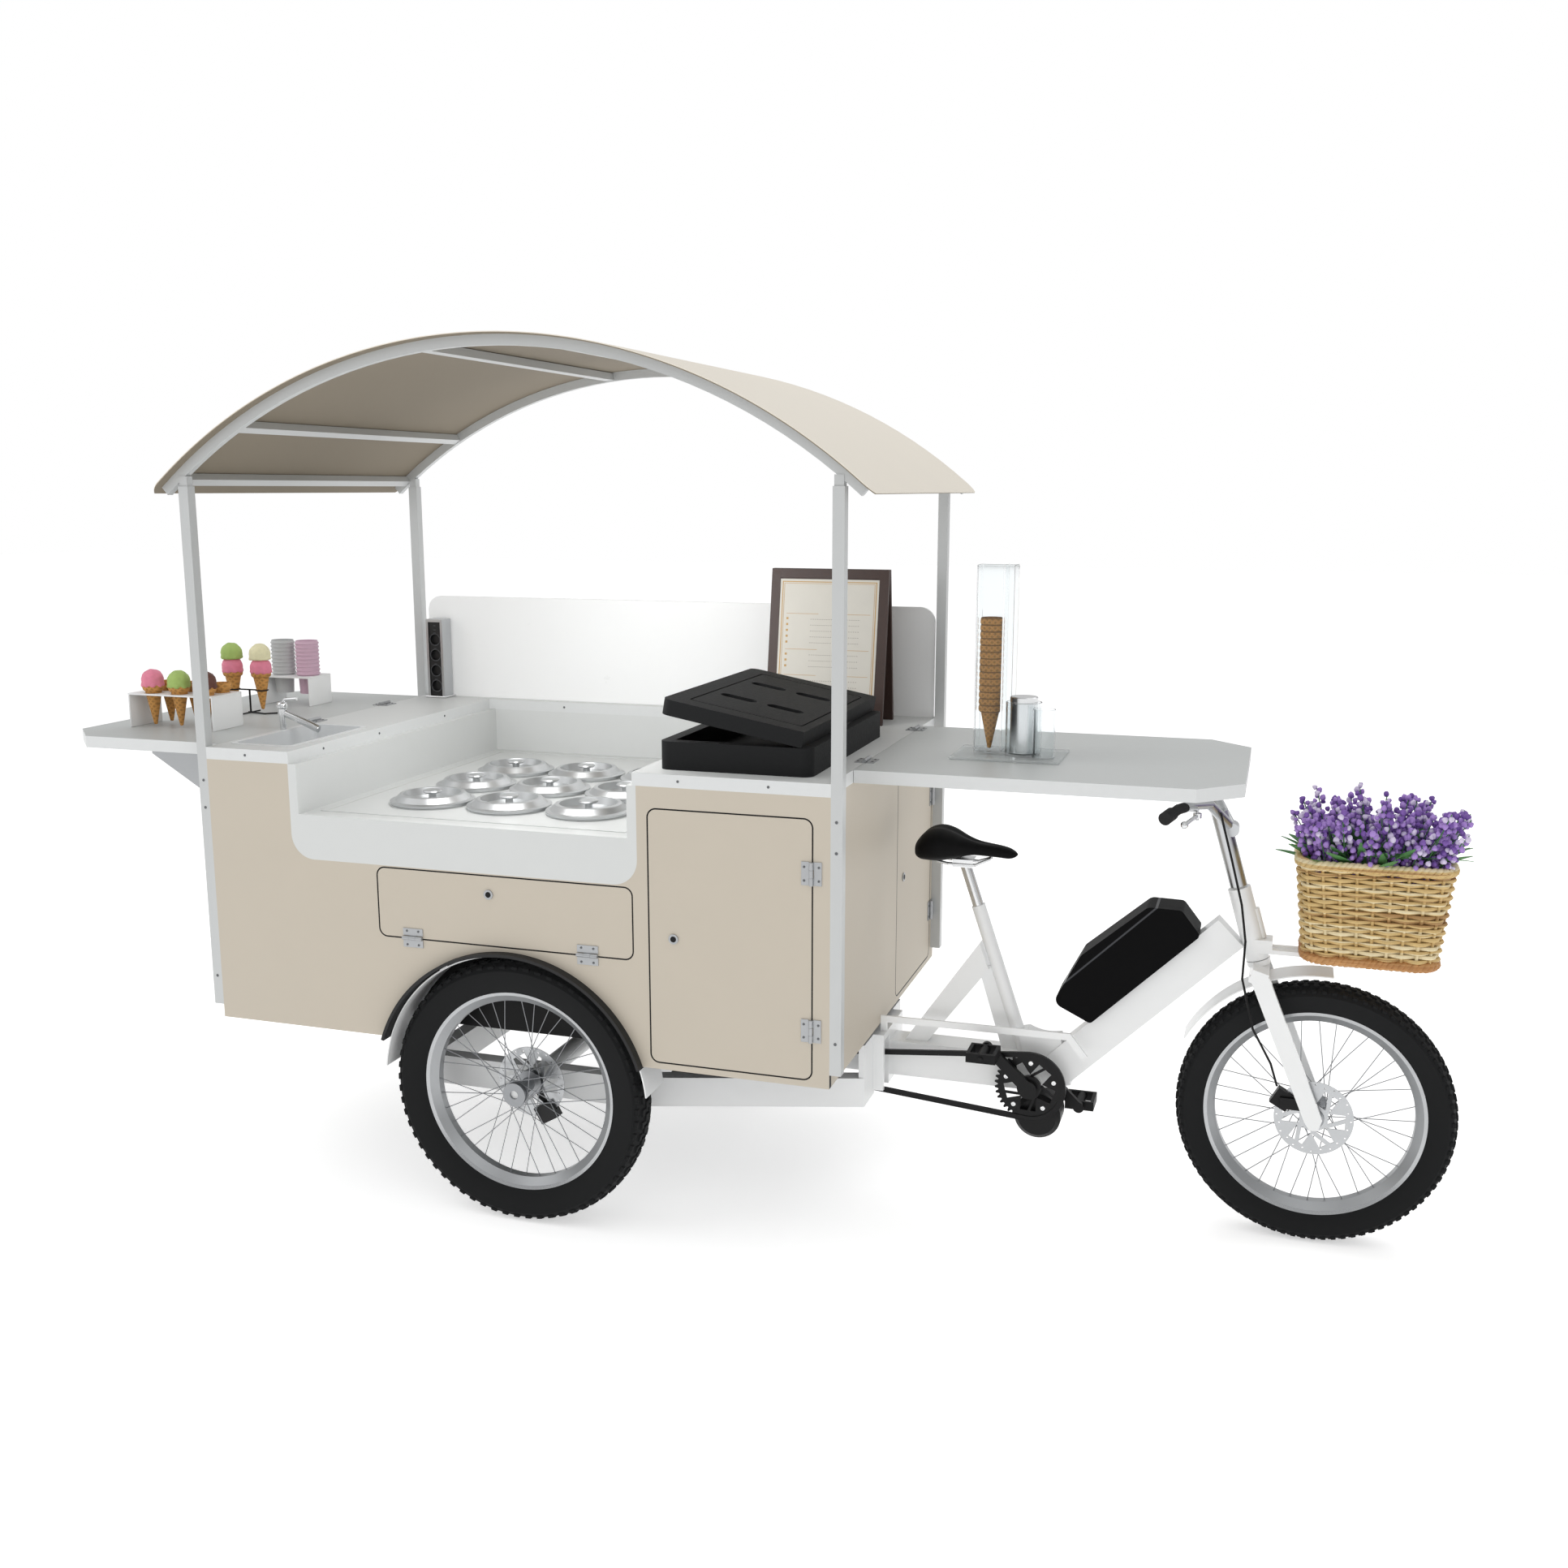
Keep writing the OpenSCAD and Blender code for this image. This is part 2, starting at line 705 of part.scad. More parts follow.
// Pop-up socket tower: aluminium shell, socket face set in on the operator's side
module socket_tower() {
  lo = tower_lo;
  face_w = tower_s[0] - 14;
  color([0.72, 0.73, 0.74]) difference() {
    translate([lo[0], lo[1], counter_z - tower_sunk]) cube([tower_s[0], tower_s[1], tower_h + tower_sunk]);
    translate([lo[0] + 7, lo[1] - 1, counter_z + 6]) cube([face_w, 4, tower_h - 14]);
    for (i = [0 : 3]) translate([lo[0] + tower_s[0] / 2, lo[1] + 14, counter_z + 34 + i * 44])
      rotate([90, 0, 0]) cylinder(h = 20, r = 16);
  }
}

// Folding menu board: front frame leaning back, and its prop behind
module menu_board() {
  x0 = -52;
  x1 = 258;
  foot = 292 * fit_y;
  lean = 62;
  tall = 388;
  t = 12;
  rim = 24;
  color([0.22, 0.15, 0.13]) {
    difference() {
      yz_plate(x0, x1) translate([0, counter_z])
        polygon([[foot, 0], [foot + t, 0], [foot + lean + t, tall], [foot + lean, tall]]);
      translate([0, foot, counter_z]) rotate([-atan(lean / tall), 0, 0])
        box([x0 + rim, -3, rim], [x1 - rim, 3, tall - rim + 6]);
    }
    yz_plate(x0, x1) translate([0, counter_z]) polygon([[foot + 2 * lean - 10, 0],
      [foot + 2 * lean + 2, 0], [foot + lean + t + 8, tall], [foot + lean + t, tall],
      [foot + lean + t, tall - 20]]);
  }
}

// Insulated case: open base, and a lid that stands tilted on its forward edge
case_lo = [-44, 53 - half_w];
case_hi = [297, 142 * fit_y];
case_h = 61;
case_wall = 28;
case_tilt = 10.5;
case_lid_t = 34;
case_r = 22;
case_pin_r = 2.2;
case_knuckle_r = 4.5;
case_knuckle = 120;
case_mid_y = (case_lo[1] + case_hi[1]) / 2;
case_axis = [case_hi[0] - case_r, case_mid_y, counter_z + case_h + run_gap];
module along_case_axis(len, r) {
  rotate([90, 0, 0]) cylinder(h = len, r = r, center = true);
}

module case_base() {
  color(black) {
    difference() {
      translate([0, 0, counter_z]) linear_extrude(case_h)
        rrect(case_lo[0], case_lo[1], case_hi[0], case_hi[1], case_r);
      box([case_lo[0] + case_wall, case_lo[1] + case_wall, counter_z + case_wall / 2],
        [case_hi[0] - case_wall, case_hi[1] - case_wall, counter_z + case_h + 10]);
      translate(case_axis) along_case_axis(case_knuckle + 2 * run_gap, case_knuckle_r + run_gap);
    }
    translate(case_axis) along_case_axis(case_knuckle + 60, case_pin_r);
  }
}

module case_lid() {
  axis_x = case_axis[0];
  l = case_hi[0] - case_lo[0];
  w = case_hi[1] - case_lo[1];
  color(black) translate([axis_x, 0, case_axis[2]]) rotate([0, case_tilt, 0])
    translate([-axis_x, 0, 0]) difference() {
    union() {
      translate([0, 0, 0.4]) linear_extrude(case_lid_t) difference() {
        rrect(case_lo[0] - 2, case_lo[1] - 2, case_hi[0] + 2, case_hi[1] + 2, case_r);
        translate([axis_x, case_lo[1] - 10]) square([200, w + 20]);
      }
      translate([axis_x, case_mid_y, 0]) along_case_axis(case_knuckle, case_knuckle_r);
    }
    translate([axis_x, case_mid_y, 0]) along_case_axis(case_knuckle + 64, case_pin_r + pin_clear);
    for (i = [0 : 1], j = [0 : 1])
      translate([case_lo[0] + l * (0.308 + i * 0.323), case_lo[1] + w * (0.323 + j * 0.357), case_lid_t - 7])
        linear_extrude(20) rrect(-42, -17, 42, 17, 16);
    difference() {
      translate([0, 0, case_lid_t - 2]) linear_extrude(10)
        rrect(case_lo[0] + 40, case_lo[1] + 50, axis_x - 20, case_hi[1] - 50, 10);
      translate([0, 0, case_lid_t - 10]) linear_extrude(30)
        rrect(case_lo[0] + 44, case_lo[1] + 54, axis_x - 24, case_hi[1] - 54, 10);
    }
  }
}

// Fixed hinge leaves with their pins, and the two brackets under the rear flap
module hinge_leaves() {
  reach = 240;
  color(steel) {
    at_tall_hinges() hinge_fixed();
    at_drop_hinges() hinge_fixed();
    at_front_door_hinges() hinge_fixed();
    at_front_flap_hinges() hinge_fixed();
    at_rear_flap_hinges() hinge_fixed();
    both_sides() xz_plate(half_w - 110, half_w - 104) polygon([[body_rear, counter_low - run_gap],
      [body_rear, counter_low - 150], [body_rear - 16, counter_low - 150],
      [body_rear - reach, counter_low - 16], [body_rear - reach, counter_low - run_gap]]);
  }
}

// Bicycle frame: head tube, down tube, seat tube, gusset, brace, stay beam, chain guard and basket arm
module bike_frame() {
  shell = [crank_x, 0, crank_z];
  beam_half = 38;
  guard_y = chain_y + 2;
  down_mid = [795, 0, 362];
  down_len = 480;
  color(white_paint) difference() {
    union() {
      rod(head_bottom, head_top, head_d / 2);
      translate(down_mid) rotate([0, -atan(down_u[2] / down_u[0]), 0])
        translate([-60, -down_w / 2, -down_h / 2]) cube([down_len + 60, down_w, down_h]);
      rod(seat_low, seat_collar, seat_tube_d / 2);
      xz_plate(-4, 4) polygon([[crank_x, crank_z], [crank_x - 62, crank_z + 20],
        [crank_x - 135, crank_z + 255], [crank_x - 95, crank_z + 270]]);
      xz_plate(-22, 22) difference() {
        polygon([[crank_x, crank_z - 20], [crank_x - 36, crank_z + 118], [crank_x + 56, crank_z + 140],
          [crank_x + 90, crank_z]]);
        translate([crank_x + 34, crank_z + 218]) circle(r = 106);
      }
      xz_plate(-18, 18) polygon([[578, 622], [600, 560], [444, 350], [398, 360]]);
      box([body_front + 16, -beam_half, 284], [crank_x - 8, beam_half, 368]);
      difference() {
        box([body_front - 9 + seat_gap, -95, 262], [body_front + 16, 95, 400]);
        box([body_front - 30, -chain_y - 24, 240], [body_front + 40, -chain_y + 18, 385]);
      }
      translate(shell) rotate([90, 0, 0]) cylinder(h = 92, r = 26, center = true);
      xz_plate(-guard_y - 3, -guard_y + 3) polygon([[body_front + run_gap, 422], [792, 425],
        [826, 382], [840, 390], [800, 441], [body_front + run_gap, 438]]);
      box([body_front + run_gap, -guard_y - 3, 398], [body_front + 16, -guard_y + 3, 438]);
      rod(head_bottom - 50 * axis_dir + [20, 0, 0], head_bottom - 118 * axis_dir + [20, 0, 0], 12);
      for (y = [-16, 16]) box([head_bottom[0] - 8, y - 9, basket_low - 10], [basket_mid[0] + 60, y + 9,
        basket_low - run_gap]);
      box([head_bottom[0] - 8, -25, basket_low - 10], [head_bottom[0] + 30, 25, basket_low + 20]);
    }
    rod(head_bottom + 100 * axis_dir, head_top - 100 * axis_dir, steerer_d / 2 + pin_clear);
    rod(seat_collar - 270 * seat_dir, seat_collar + 40 * seat_dir, seatpost_d / 2 + pin_clear);
    translate(shell) rotate([90, 0, 0]) cylinder(h = 200, r = spindle_r + pin_clear, center = true);
  }
}

// Motor under the bottom bracket
module motor() {
  color(black) translate([crank_x + 17, 0, crank_z - 78.5]) rotate([-90, 0, 0]) rotate_extrude() polygon([
    [0, -46], [motor_d / 2 - 10, -46], [motor_d / 2, -36], [motor_d / 2, 30], [motor_d / 2 - 6, 38],
    [20, 46], [0, 46]]);
}

module belt_outline(r_a, r_b) {
  dx = crank_x - sprocket_x;
  dz = crank_z - sprocket_z;
  tilt = atan2(dz, dx);
  lean = asin((r_a - r_b) / norm([dx, dz]));
  half_a = 90 + lean;
  half_b = 90 - lean;
  n_a = 48;
  n_b = 24;
  polygon(concat(
    [for (i = [0 : n_a]) let (a = tilt - half_a + 2 * half_a * i / n_a)
      [crank_x, crank_z] + r_a * [cos(a), sin(a)]],
    [for (i = [0 : n_b]) let (a = tilt + 180 - half_b + 2 * half_b * i / n_b)
      [sprocket_x, sprocket_z] + r_b * [cos(a), sin(a)]]));
}

// Chain: two runs of side plates that straddle the teeth, joined by a back band outside the teeth
chain_half = 4;
tooth_out = 4;
module chain() {
  inner = 5;
  plate_in = ring_t / 2 + run_gap;
  back = tooth_out + run_gap;
  color(black) {
    for (s = [-1, 1]) {
      y0 = -chain_y + (s > 0 ? plate_in : 0.4 - chain_half);
      xz_plate(y0, y0 + chain_half - 0.4 - plate_in) difference() {
        belt_outline(ring_r + back + 1.2, sprocket_r + back + 1.2);
        belt_outline(ring_r - inner, sprocket_r - inner);
      }
    }
    xz_plate(-chain_y - chain_half, -chain_y + chain_half) difference() {
      belt_outline(ring_r + inner + 2, sprocket_r + inner + 2);
      belt_outline(ring_r + back, sprocket_r + back);
    }
  }
}

module toothed(r, n) {
  polygon([for (i = [0 : 4 * n - 1])
    let (a = i * 90 / n, k = i % 4, q = (k == 0 || k == 3) ? r - 3.5 : r + tooth_out)
      q * [cos(a), sin(a)]]);
}

module sprocket() {
  color(steel) translate([sprocket_x, -chain_y - ring_t / 2, sprocket_z]) rotate([-90, 0, 0]) difference() {
    union() {
      linear_extrude(ring_t) toothed(sprocket_r, sprocket_teeth);
      translate([0, 0, -6]) cylinder(h = 60, r = 12);
    }
    translate([0, 0, -10]) cylinder(h = 100, r = jack_r + pin_clear);
  }
}

// Chainring, both cranks and their spindle
crank_y = chain_y + 14;
crank_dir = [cos(crank_angle), 0, sin(crank_angle)];
crank_t = 12;
module crank_arm(side) {
  hub = [crank_x, side * crank_y, crank_z];
  tip = hub - side * crank_len * crank_dir;
  y0 = side * crank_y - crank_t / 2;
  xz_plate(y0, y0 + crank_t) {
    translate([hub[0], hub[2]]) circle(r = 19);
    translate([tip[0], tip[2]]) circle(r = 13);
    translate([hub[0], hub[2]]) rotate(side < 0 ? crank_angle : crank_angle + 180)
      polygon([[0, -15], [crank_len, -11], [crank_len, 11], [0, 15]]);
  }
  rod(tip, tip + [0, side * 84, 0], pedal_pin_r);
}

module crank_set() {
  color(black) {
    rod([crank_x, -crank_y, crank_z], [crank_x, crank_y, crank_z], spindle_r);
    for (side = [-1, 1]) crank_arm(side);
    translate([crank_x, -chain_y - ring_t / 2, crank_z]) rotate([-90, 0, 0]) linear_extrude(ring_t)
      difference() {
        toothed(ring_r, ring_teeth);
        for (i = [0 : 4]) rotate(i * 72 + 20) difference() {
          translate([20, -18]) square([38, 36]);
          translate([20, -18]) rotate(18) square([50, 6]);
        }
        for (i = [0 : 4]) rotate(i * 72 + 56) translate([58, 0]) circle(r = 3.5);
      }
    rod([crank_x, -chain_y - 10, crank_z], [crank_x, -chain_y, crank_z], 28);
  }
}

module pedal(side) {
  tip = [crank_x, side * crank_y, crank_z] - side * crank_len * crank_dir;
  y0 = tip[1] + side * (crank_t / 2 + 3);
  y1 = y0 + side * 72;
  lo = min(y0, y1);
  hi = max(y0, y1);
  color(black) difference() {
    union() {
      rod([tip[0], lo, tip[2]], [tip[0], hi, tip[2]], 11);
      for (y = [lo, hi - 8]) box([tip[0] - 34, y, tip[2] - 11], [tip[0] + 34, y + 8, tip[2] + 11]);
      for (x = [-34, 26]) box([tip[0] + x, lo, tip[2] - 11], [tip[0] + x + 8, hi, tip[2] + 11]);
    }
    rod([tip[0], lo - 5, tip[2]], [tip[0], hi + 5, tip[2]], pedal_pin_r + pin_clear);
  }
}

// Saddle: broad crowned tail, waist and narrow nose
saddle_rear = 419;
saddle_top = 893;
module saddle() {
  nose = saddle_rear + saddle_len;
  half = saddle_w / 2;
  color(black) {
    hull() {
      for (s = [-1, 1])
        translate([saddle_rear + 30, s * (half - 30), saddle_top - 48]) sphere(r = 30, $fn = 20);
      for (s = [-1, 1]) translate([saddle_rear + 58, s * 24, saddle_top - 26]) sphere(r = 26, $fn = 20);
      translate([saddle_rear + 128, 0, saddle_top - 44]) sphere(r = 24, $fn = 20);
    }
    hull() {
      translate([saddle_rear + 118, 0, saddle_top - 44]) sphere(r = 24, $fn = 20);
      translate([nose - 17, 0, saddle_top - 46]) sphere(r = 17, $fn = 20);
    }
  }
}

// Seat post with its clamp and the saddle's two rails
module seatpost() {
  bottom = seat_collar - 150 * seat_dir;
  rail_z = saddle_top - 84;
  color(steel) {
    rod(bottom, seat_top, seatpost_d / 2);
    box([seat_top[0] - 24, -24, rail_z - 7], [seat_top[0] + 24, 24, rail_z + 11.5]);
    for (s = [-1, 1]) bent_rod([[saddle_rear + 56, s * 22, rail_z + 4], [saddle_rear + 80, s * 22, rail_z],
      [saddle_rear + 145, s * 22, rail_z], [saddle_rear + 178, s * 8, rail_z + 14]], 3.5);
  }
}

// Battery on the down tube
module battery() {
  u = [down_u[0], down_u[2]];
  n = [down_n[0], down_n[2]];
  base = [795, 362] + (down_h / 2 + run_gap) * n;
  pts = [[112, 10, 10], [422, 10, 10], [424, 64, 14], [378, 100, 22], [200, 108, 24], [98, 78, 20]];
  color(black) hull() for (p = pts) {
    c = base + p[0] * u + p[1] * n;
    translate([c[0], 0, c[1]]) rotate([90, 0, 0]) cylinder(h = battery_w, r = p[2], center = true, $fn = 32);
  }
}

// Wicker basket and its bunch of lavender
module basket_loft(wall, low, high) {
  l0 = basket_len / 2 - 24 - wall;
  w0 = basket_w / 2 - 16 - wall;
  l1 = basket_len / 2 - wall;
  w1 = basket_w / 2 - wall;
  r = 30;
  hull() {
    for (x = [-1, 1], y = [-1, 1]) {
      translate([x * (l0 - r), y * (w0 - r), low]) cylinder(h = 1, r = r, $fn = 32);
      translate([x * (l1 - r), y * (w1 - r), high - 1]) cylinder(h = 1, r = r, $fn = 32);
    }
  }
}

module basket() {
  color([0.78, 0.65, 0.43]) translate([basket_mid[0], 0, basket_low]) difference() {
    basket_loft(0, 0, basket_h);
    basket_loft(basket_wall, basket_wall, basket_h + 2);
  }
}

module flowers() {
  rows = 4;
  cols = 7;
  head_h = 74;
  head_r = 16;
  floor_z = basket_low + basket_wall + run_gap;
  color([0.55, 0.40, 0.70]) for (i = [0 : cols - 1], j = [0 : rows - 1]) {
    u = 2 * i / (cols - 1) - 1;
    v = 2 * j / (rows - 1) - 1;
    len = 262 + 34 * cos(i * 97 + j * 61);
    translate([basket_mid[0] + u * 76, v * 38, floor_z]) rotate([-v * 9, u * 12, 0]) rotate_extrude($fn = 24)
      polygon([[0, 0], [3, 0], [3, len - head_h], [head_r, len - head_h + 20], [head_r - 3, len - 30],
        [0, len]]);
  }
}

// Inside: fresh and waste water cans under the sink, cooling unit under the tubs
module inner_equipment() {
  color([0.80, 0.82, 0.85]) {
    for (y = [80 - half_w, 275 - half_w]) translate([body_rear + 24, y, floor_top]) {
      linear_extrude(330) rrect(0, 0, 172, 180, 20);
      translate([86, 90, 330]) cylinder(h = 20, r = 24);
    }
  }
  color([0.35, 0.36, 0.38]) {
    box([-700, -300, floor_top], [-260, 300, floor_top + 150]);
    translate([-600, -120, floor_top + 150]) cylinder(h = 70, r = 60);
  }
}

// Canopy sheet and the frame that carries it
module canopy_sheet() {
  a = canopy_half_angle;
  half = canopy_y / 2;
  color([0.87, 0.84, 0.79]) difference() {
    arc_bar(body_mid, canopy_cz, canopy_rad - sheet_t, canopy_rad, 90 - a, 90 + a, -half, half);
    for (sx = [-1, 1], sy = [-1, 1]) translate([body_mid + sx * canopy_half, sy * half, canopy_end_z - 60])
      linear_extrude(200) difference() {
        translate([-canopy_r, -canopy_r]) square(2 * canopy_r);
        translate((0.4 - canopy_r) * [sx, sy]) circle(r = canopy_r);
      }
  }
}

module canopy_frame() {
  a = asin((front_post_x + 45 - body_mid) / arch_in);
  s = inner_s / 2;
  bar = inner_s - 3;
  color(grey_metal) {
    for (y = [-post_y, post_y])
      arc_bar(body_mid, canopy_cz, arch_in, arch_out, 90 - a, 90 + a, y - bar / 2, y + bar / 2);
    for (x = [rear_post_x, front_post_x], y = [-post_y, post_y])
      box([x - s, y - s, post_top - post_in], [x + s, y + s, canopy_cz + arch_in *
        cos(asin((front_post_x - body_mid) / arch_in)) + 4]);
    for (k = [-0.955, -0.73, -0.17, 0.17, 0.73, 0.955])
      arc_bar(body_mid, canopy_cz, arch_in + 2, arch_out - 2, 90 + k * a - 0.5, 90 + k * a + 0.5, -post_y,
        post_y);
  }
}

// Folding flaps with cut corners
module flap_outline(x0, x1, w) {
  s = sign(x1 - x0);
  polygon([[x0, -w / 2], [x1 - s * flap_cut, -w / 2], [x1, -w / 2 + flap_cut], [x1, w / 2 - flap_cut],
    [x1 - s * flap_cut, w / 2], [x0, w / 2]]);
}

module front_flap() {
  x0 = body_front + door_gap / 2;
  color(white_paint) {
    translate([0, 0, counter_low]) linear_extrude(counter_t) flap_outline(x0, x0 + fflap_len, fflap_w);
    at_front_flap_hinges() hinge_moving();
  }
}

module rear_flap() {
  x0 = body_rear - door_gap / 2;
  color(white_paint) {
    translate([0, 0, counter_low]) linear_extrude(counter_t) flap_outline(x0, x0 - rflap_len, rflap_y);
    at_rear_flap_hinges() hinge_moving();
  }
}

// Doors, each with its moving hinge leaves and a round lock
module lock(t) {
  cylinder(h = 3, r = 11);
  translate([0, 0, -t - 10]) cylinder(h = t + 10, r = 8);
}

module drop_door() {
  color(beige) {
    xz_plate(-half_w, -half_w + panel_t) drop_outline(0);
    at_drop_hinges() hinge_moving();
  }
  color(steel) translate([drop_front - drop_w / 2 - 32, -half_w, drop_low + drop_h - 41])
    rotate([90, 0, 0]) lock(panel_t);
}

module tall_door() {
  color(beige) {
    xz_plate(-half_w, -half_w + panel_t) tall_outline(0);
    at_tall_hinges() hinge_moving();
  }
  color(steel) translate([tall_front - tall_w + 55, -half_w, tall_low + tall_h / 2])
    rotate([90, 0, 0]) lock(panel_t);
}

module front_door() {
  color(beige) {
    yz_plate(body_front - panel_t, body_front) front_door_outline(0);
    at_front_door_hinges() hinge_moving();
  }
  color(steel) translate([body_front, fdoor_y - fdoor_w + 62, tall_low + tall_h / 2 + 8])
    rotate([0, 90, 0]) lock(panel_t);
}

// Spoked wheel, drawn with its axle along Y through the origin, outer side towards -Y
module rim_and_hub(bore, half) {
  revolve_y(0, 0, 0) polygon([[rim_r - rim_h, -10], [rim_r - rim_h, 10], [rim_r - 8, rim_w / 2 - 3],
    [rim_r, rim_w / 2], [rim_r, rim_w / 2 - 4], [rim_r - 7, rim_w / 2 - 7], [rim_r - 11, 8],
    [rim_r - 11, -8], [rim_r - 7, 7 - rim_w / 2], [rim_r, 4 - rim_w / 2], [rim_r, -rim_w / 2],
    [rim_r - 8, 3 - rim_w / 2]]);
  difference() {
    revolve_y(0, 0, 0) polygon([[0, -half], [hub_r + 6, -half], [hub_r + 6, -half + 8],
      [hub_r - 4, -half + 10],
      [flange_r, -half + 12], [flange_r, -half + 15], [hub_r - 6, -half + 18], [hub_r - 6, half - 20],
      [flange_r, half - 17], [flange_r, half - 14], [hub_r, half - 12], [hub_r, half], [0, half]]);
    rotate([90, 0, 0]) cylinder(h = 300, r = bore, center = true);
  }
}

module spokes(half) {
  cross = 6 * 360 / spoke_n;
  inner_r = flange_r + 0.3;
  outer_r = rim_r - rim_h - 0.3;
  for (i = [0 : spoke_n - 1]) {
    side = i % 2 == 0 ? -1 : 1;
    lead = floor(i / 2) % 2 == 0 ? -1 : 1;
    a = i * 360 / spoke_n;
    y0 = (side < 0 ? -half + 13.5 : half - 15.5) + lead * 1.4;
    y1 = side * 3 + lead * 1.4;
    b = a + lead * cross;
    rod([inner_r * cos(a), y0, inner_r * sin(a)], [outer_r * cos(b), y1, outer_r * sin(b)], spoke_d / 2);
  }
}

module brake_disc(y) {
  r = disc_d / 2;
  translate([0, y + disc_t / 2, 0]) rotate([90, 0, 0]) linear_extrude(disc_t) difference() {
    circle(r = r);
    circle(r = hub_r + seat_gap);
    for (i = [0 : 5]) rotate(i * 60) difference() {
      translate([hub_r + 8, -20]) square([r - hub_r - 26, 34]);
      translate([hub_r + 8, -20]) rotate(24) square([80, 9]);
    }
    for (i = [0 : 23]) rotate(i * 15) translate([r - 6 - 4 * (i % 2), 0]) circle(r = 2);
  }
}

module road_wheel(bore, half, disc_y) {
  color(steel) {
    rim_and_hub(bore, half);
    spokes(half);
    brake_disc(disc_y);
  }
}

module tyre(outer) {
  r = outer;
  bead = rim_r + 0.3;
  shoulder = tyre_w / 2;
  color(black) rotate([-90, 0, 0]) rotate_extrude() polygon([
    [bead, -rim_w / 2 + 1], [bead + 12, -rim_w / 2 - 6], [bead + 0.45 * (r - bead), -shoulder + 3],
    [r - 18, -shoulder], [r - 6, -shoulder + 8], [r - 1.5, -18], [r, 0], [r - 1.5, 18],
    [r - 6, shoulder - 8], [r - 18, shoulder], [bead + 0.45 * (r - bead), shoulder - 3],
    [bead + 12, rim_w / 2 + 6], [bead, rim_w / 2 - 1], [bead + 7, 16], [bead + 7, -16]]);
}

module at_rear(side) {
  translate([rear_x, side * wheel_y, rear_r]) mirror([0, side > 0 ? 1 : 0, 0]) children();
}

module at_front() {
  translate([front_x, 0, front_r]) children();
}

module rear_wheel(side) {
  at_rear(side) road_wheel(axle_r + pin_clear, hub_half, disc_at);
}

front_hub_half = 52;
front_disc_at = -46;
module front_wheel() {
  at_front() mirror([0, 1, 0]) road_wheel(front_axle_r + pin_clear, front_hub_half, -front_disc_at);
}

// Fork with its steerer, crown and axle, and the mudguard over the front tyre
module fork() {
  tip = [front_x, 0, front_r];
  guard_in = front_r + 22;
  half_guard = 40;
  color(white_paint) {
    rod(crown_at, stem_top - 20 * axis_dir, steerer_d / 2);
    rod(crown_at - 20 * axis_dir, crown_at - 8 * axis_dir, 25);
    translate(crown_at) rotate([0, 90 - head_angle, 0])
      translate([-18, -blade_y - blade_t, -18]) cube([36, 2 * (blade_y + blade_t), 30]);
    both_sides() {
      xz_plate(blade_y, blade_y + blade_t) polygon([
        [crown_at[0] - blade_w / 2, crown_at[2]], [crown_at[0] + blade_w / 2, crown_at[2]],
        [tip[0] + 17, tip[2] + 8], [tip[0] + 10, tip[2] - 16], [tip[0] - 8, tip[2] - 18],
        [tip[0] - 20, tip[2]]]);
    }
    rod(tip - [0, blade_y + 4, 0], tip + [0, blade_y + 4, 0], front_axle_r);
    arc_bar(front_x, front_r, guard_in, guard_in + 3, 86, 152, -half_guard, half_guard);
    rod(crown_at + 10 * axis_dir, crown_at + 10 * axis_dir + [-10, 0, -30], 8);
  }
}

// Handlebar on its stem, with grips
module handlebar() {
  color(steel) difference() {
    union() {
      rod(head_top - 4 * axis_dir, stem_top - 26 * axis_dir, steerer_d / 2 + 5);
      rod(stem_top + [0, 0, -12], bar_at, 12);
      both_sides() {
        bent_rod([bar_at, [1080, 78, 996], [1048, 150, 1006], [1022, bar_half - 60, 1003],
          [1000, bar_half, 994]], bar_d / 2);
        rod([1036, lever_y, 1002], [lever_x, lever_y, 1002], 6);
        rod([lever_x, lever_y, 1002], [lever_x, lever_y, 978], lever_pin_r);
      }
      translate(bar_at) rotate([90, 0, 0]) cylinder(h = 40, r = bar_d / 2 + 4, center = true);
    }
    rod(head_top + 40 * axis_dir, stem_top - 20.5 * axis_dir, steerer_d / 2 + seat_gap);
  }
  color(black) both_sides() rod([1011, bar_half - 30, 999], [999, bar_half + 2, 993.5], bar_d / 2 + 3);
}

// Front brake: caliper on the fork, and its cable from the handlebar
module front_brake() {
  r_in = 58;
  color(black) {
    translate([front_x, 0, front_r]) rotate([0, 209, 0]) difference() {
      box([r_in, -56, -20], [disc_d / 2 + 14, -36, 20]);
      translate([0, front_disc_at - disc_t / 2 - 1, 0]) rotate([-90, 0, 0])
        cylinder(h = disc_t + 2, r = disc_d / 2 + 2);
    }
    bent_rod([[1104, -66, 976], [1113, -58, 940], [1132, -50, 870], [1158, -47, 770], [1170, -52, 690],
      [1168, -70, 610], [1196, -74, 500], [1238, -62, 420], [1254, -50, 366]], 2.5);
    box([1262, -blade_y, 318], [1312, -54, 344]);
  }
}

module brake_lever(side) {
  pivot = [lever_x, side * lever_y, 988];
  color(steel) difference() {
    union() {
      translate(pivot) cylinder(h = 10, r = 9, center = true);
      rod(pivot, [1040, side * (bar_half - 4), 983], 4.5);
      translate([1039, side * bar_half, 983]) sphere(r = 8);
    }
    translate(pivot) cylinder(h = 40, r = lever_pin_r + pin_clear, center = true);
  }
}

// Goods on the rear flap: cone stand, wire stand and cup stand with what they hold
module scoop_cone(h, r, scoops) {
  rotate_extrude($fn = 32) polygon([[0, 0], [4, 0], [r, h], [0, h]]);
  for (i = [0 : scoops - 1]) translate([0, 0, h + r * 0.45 + i * r * 1.45]) sphere(r = r * 1.12, $fn = 32);
}

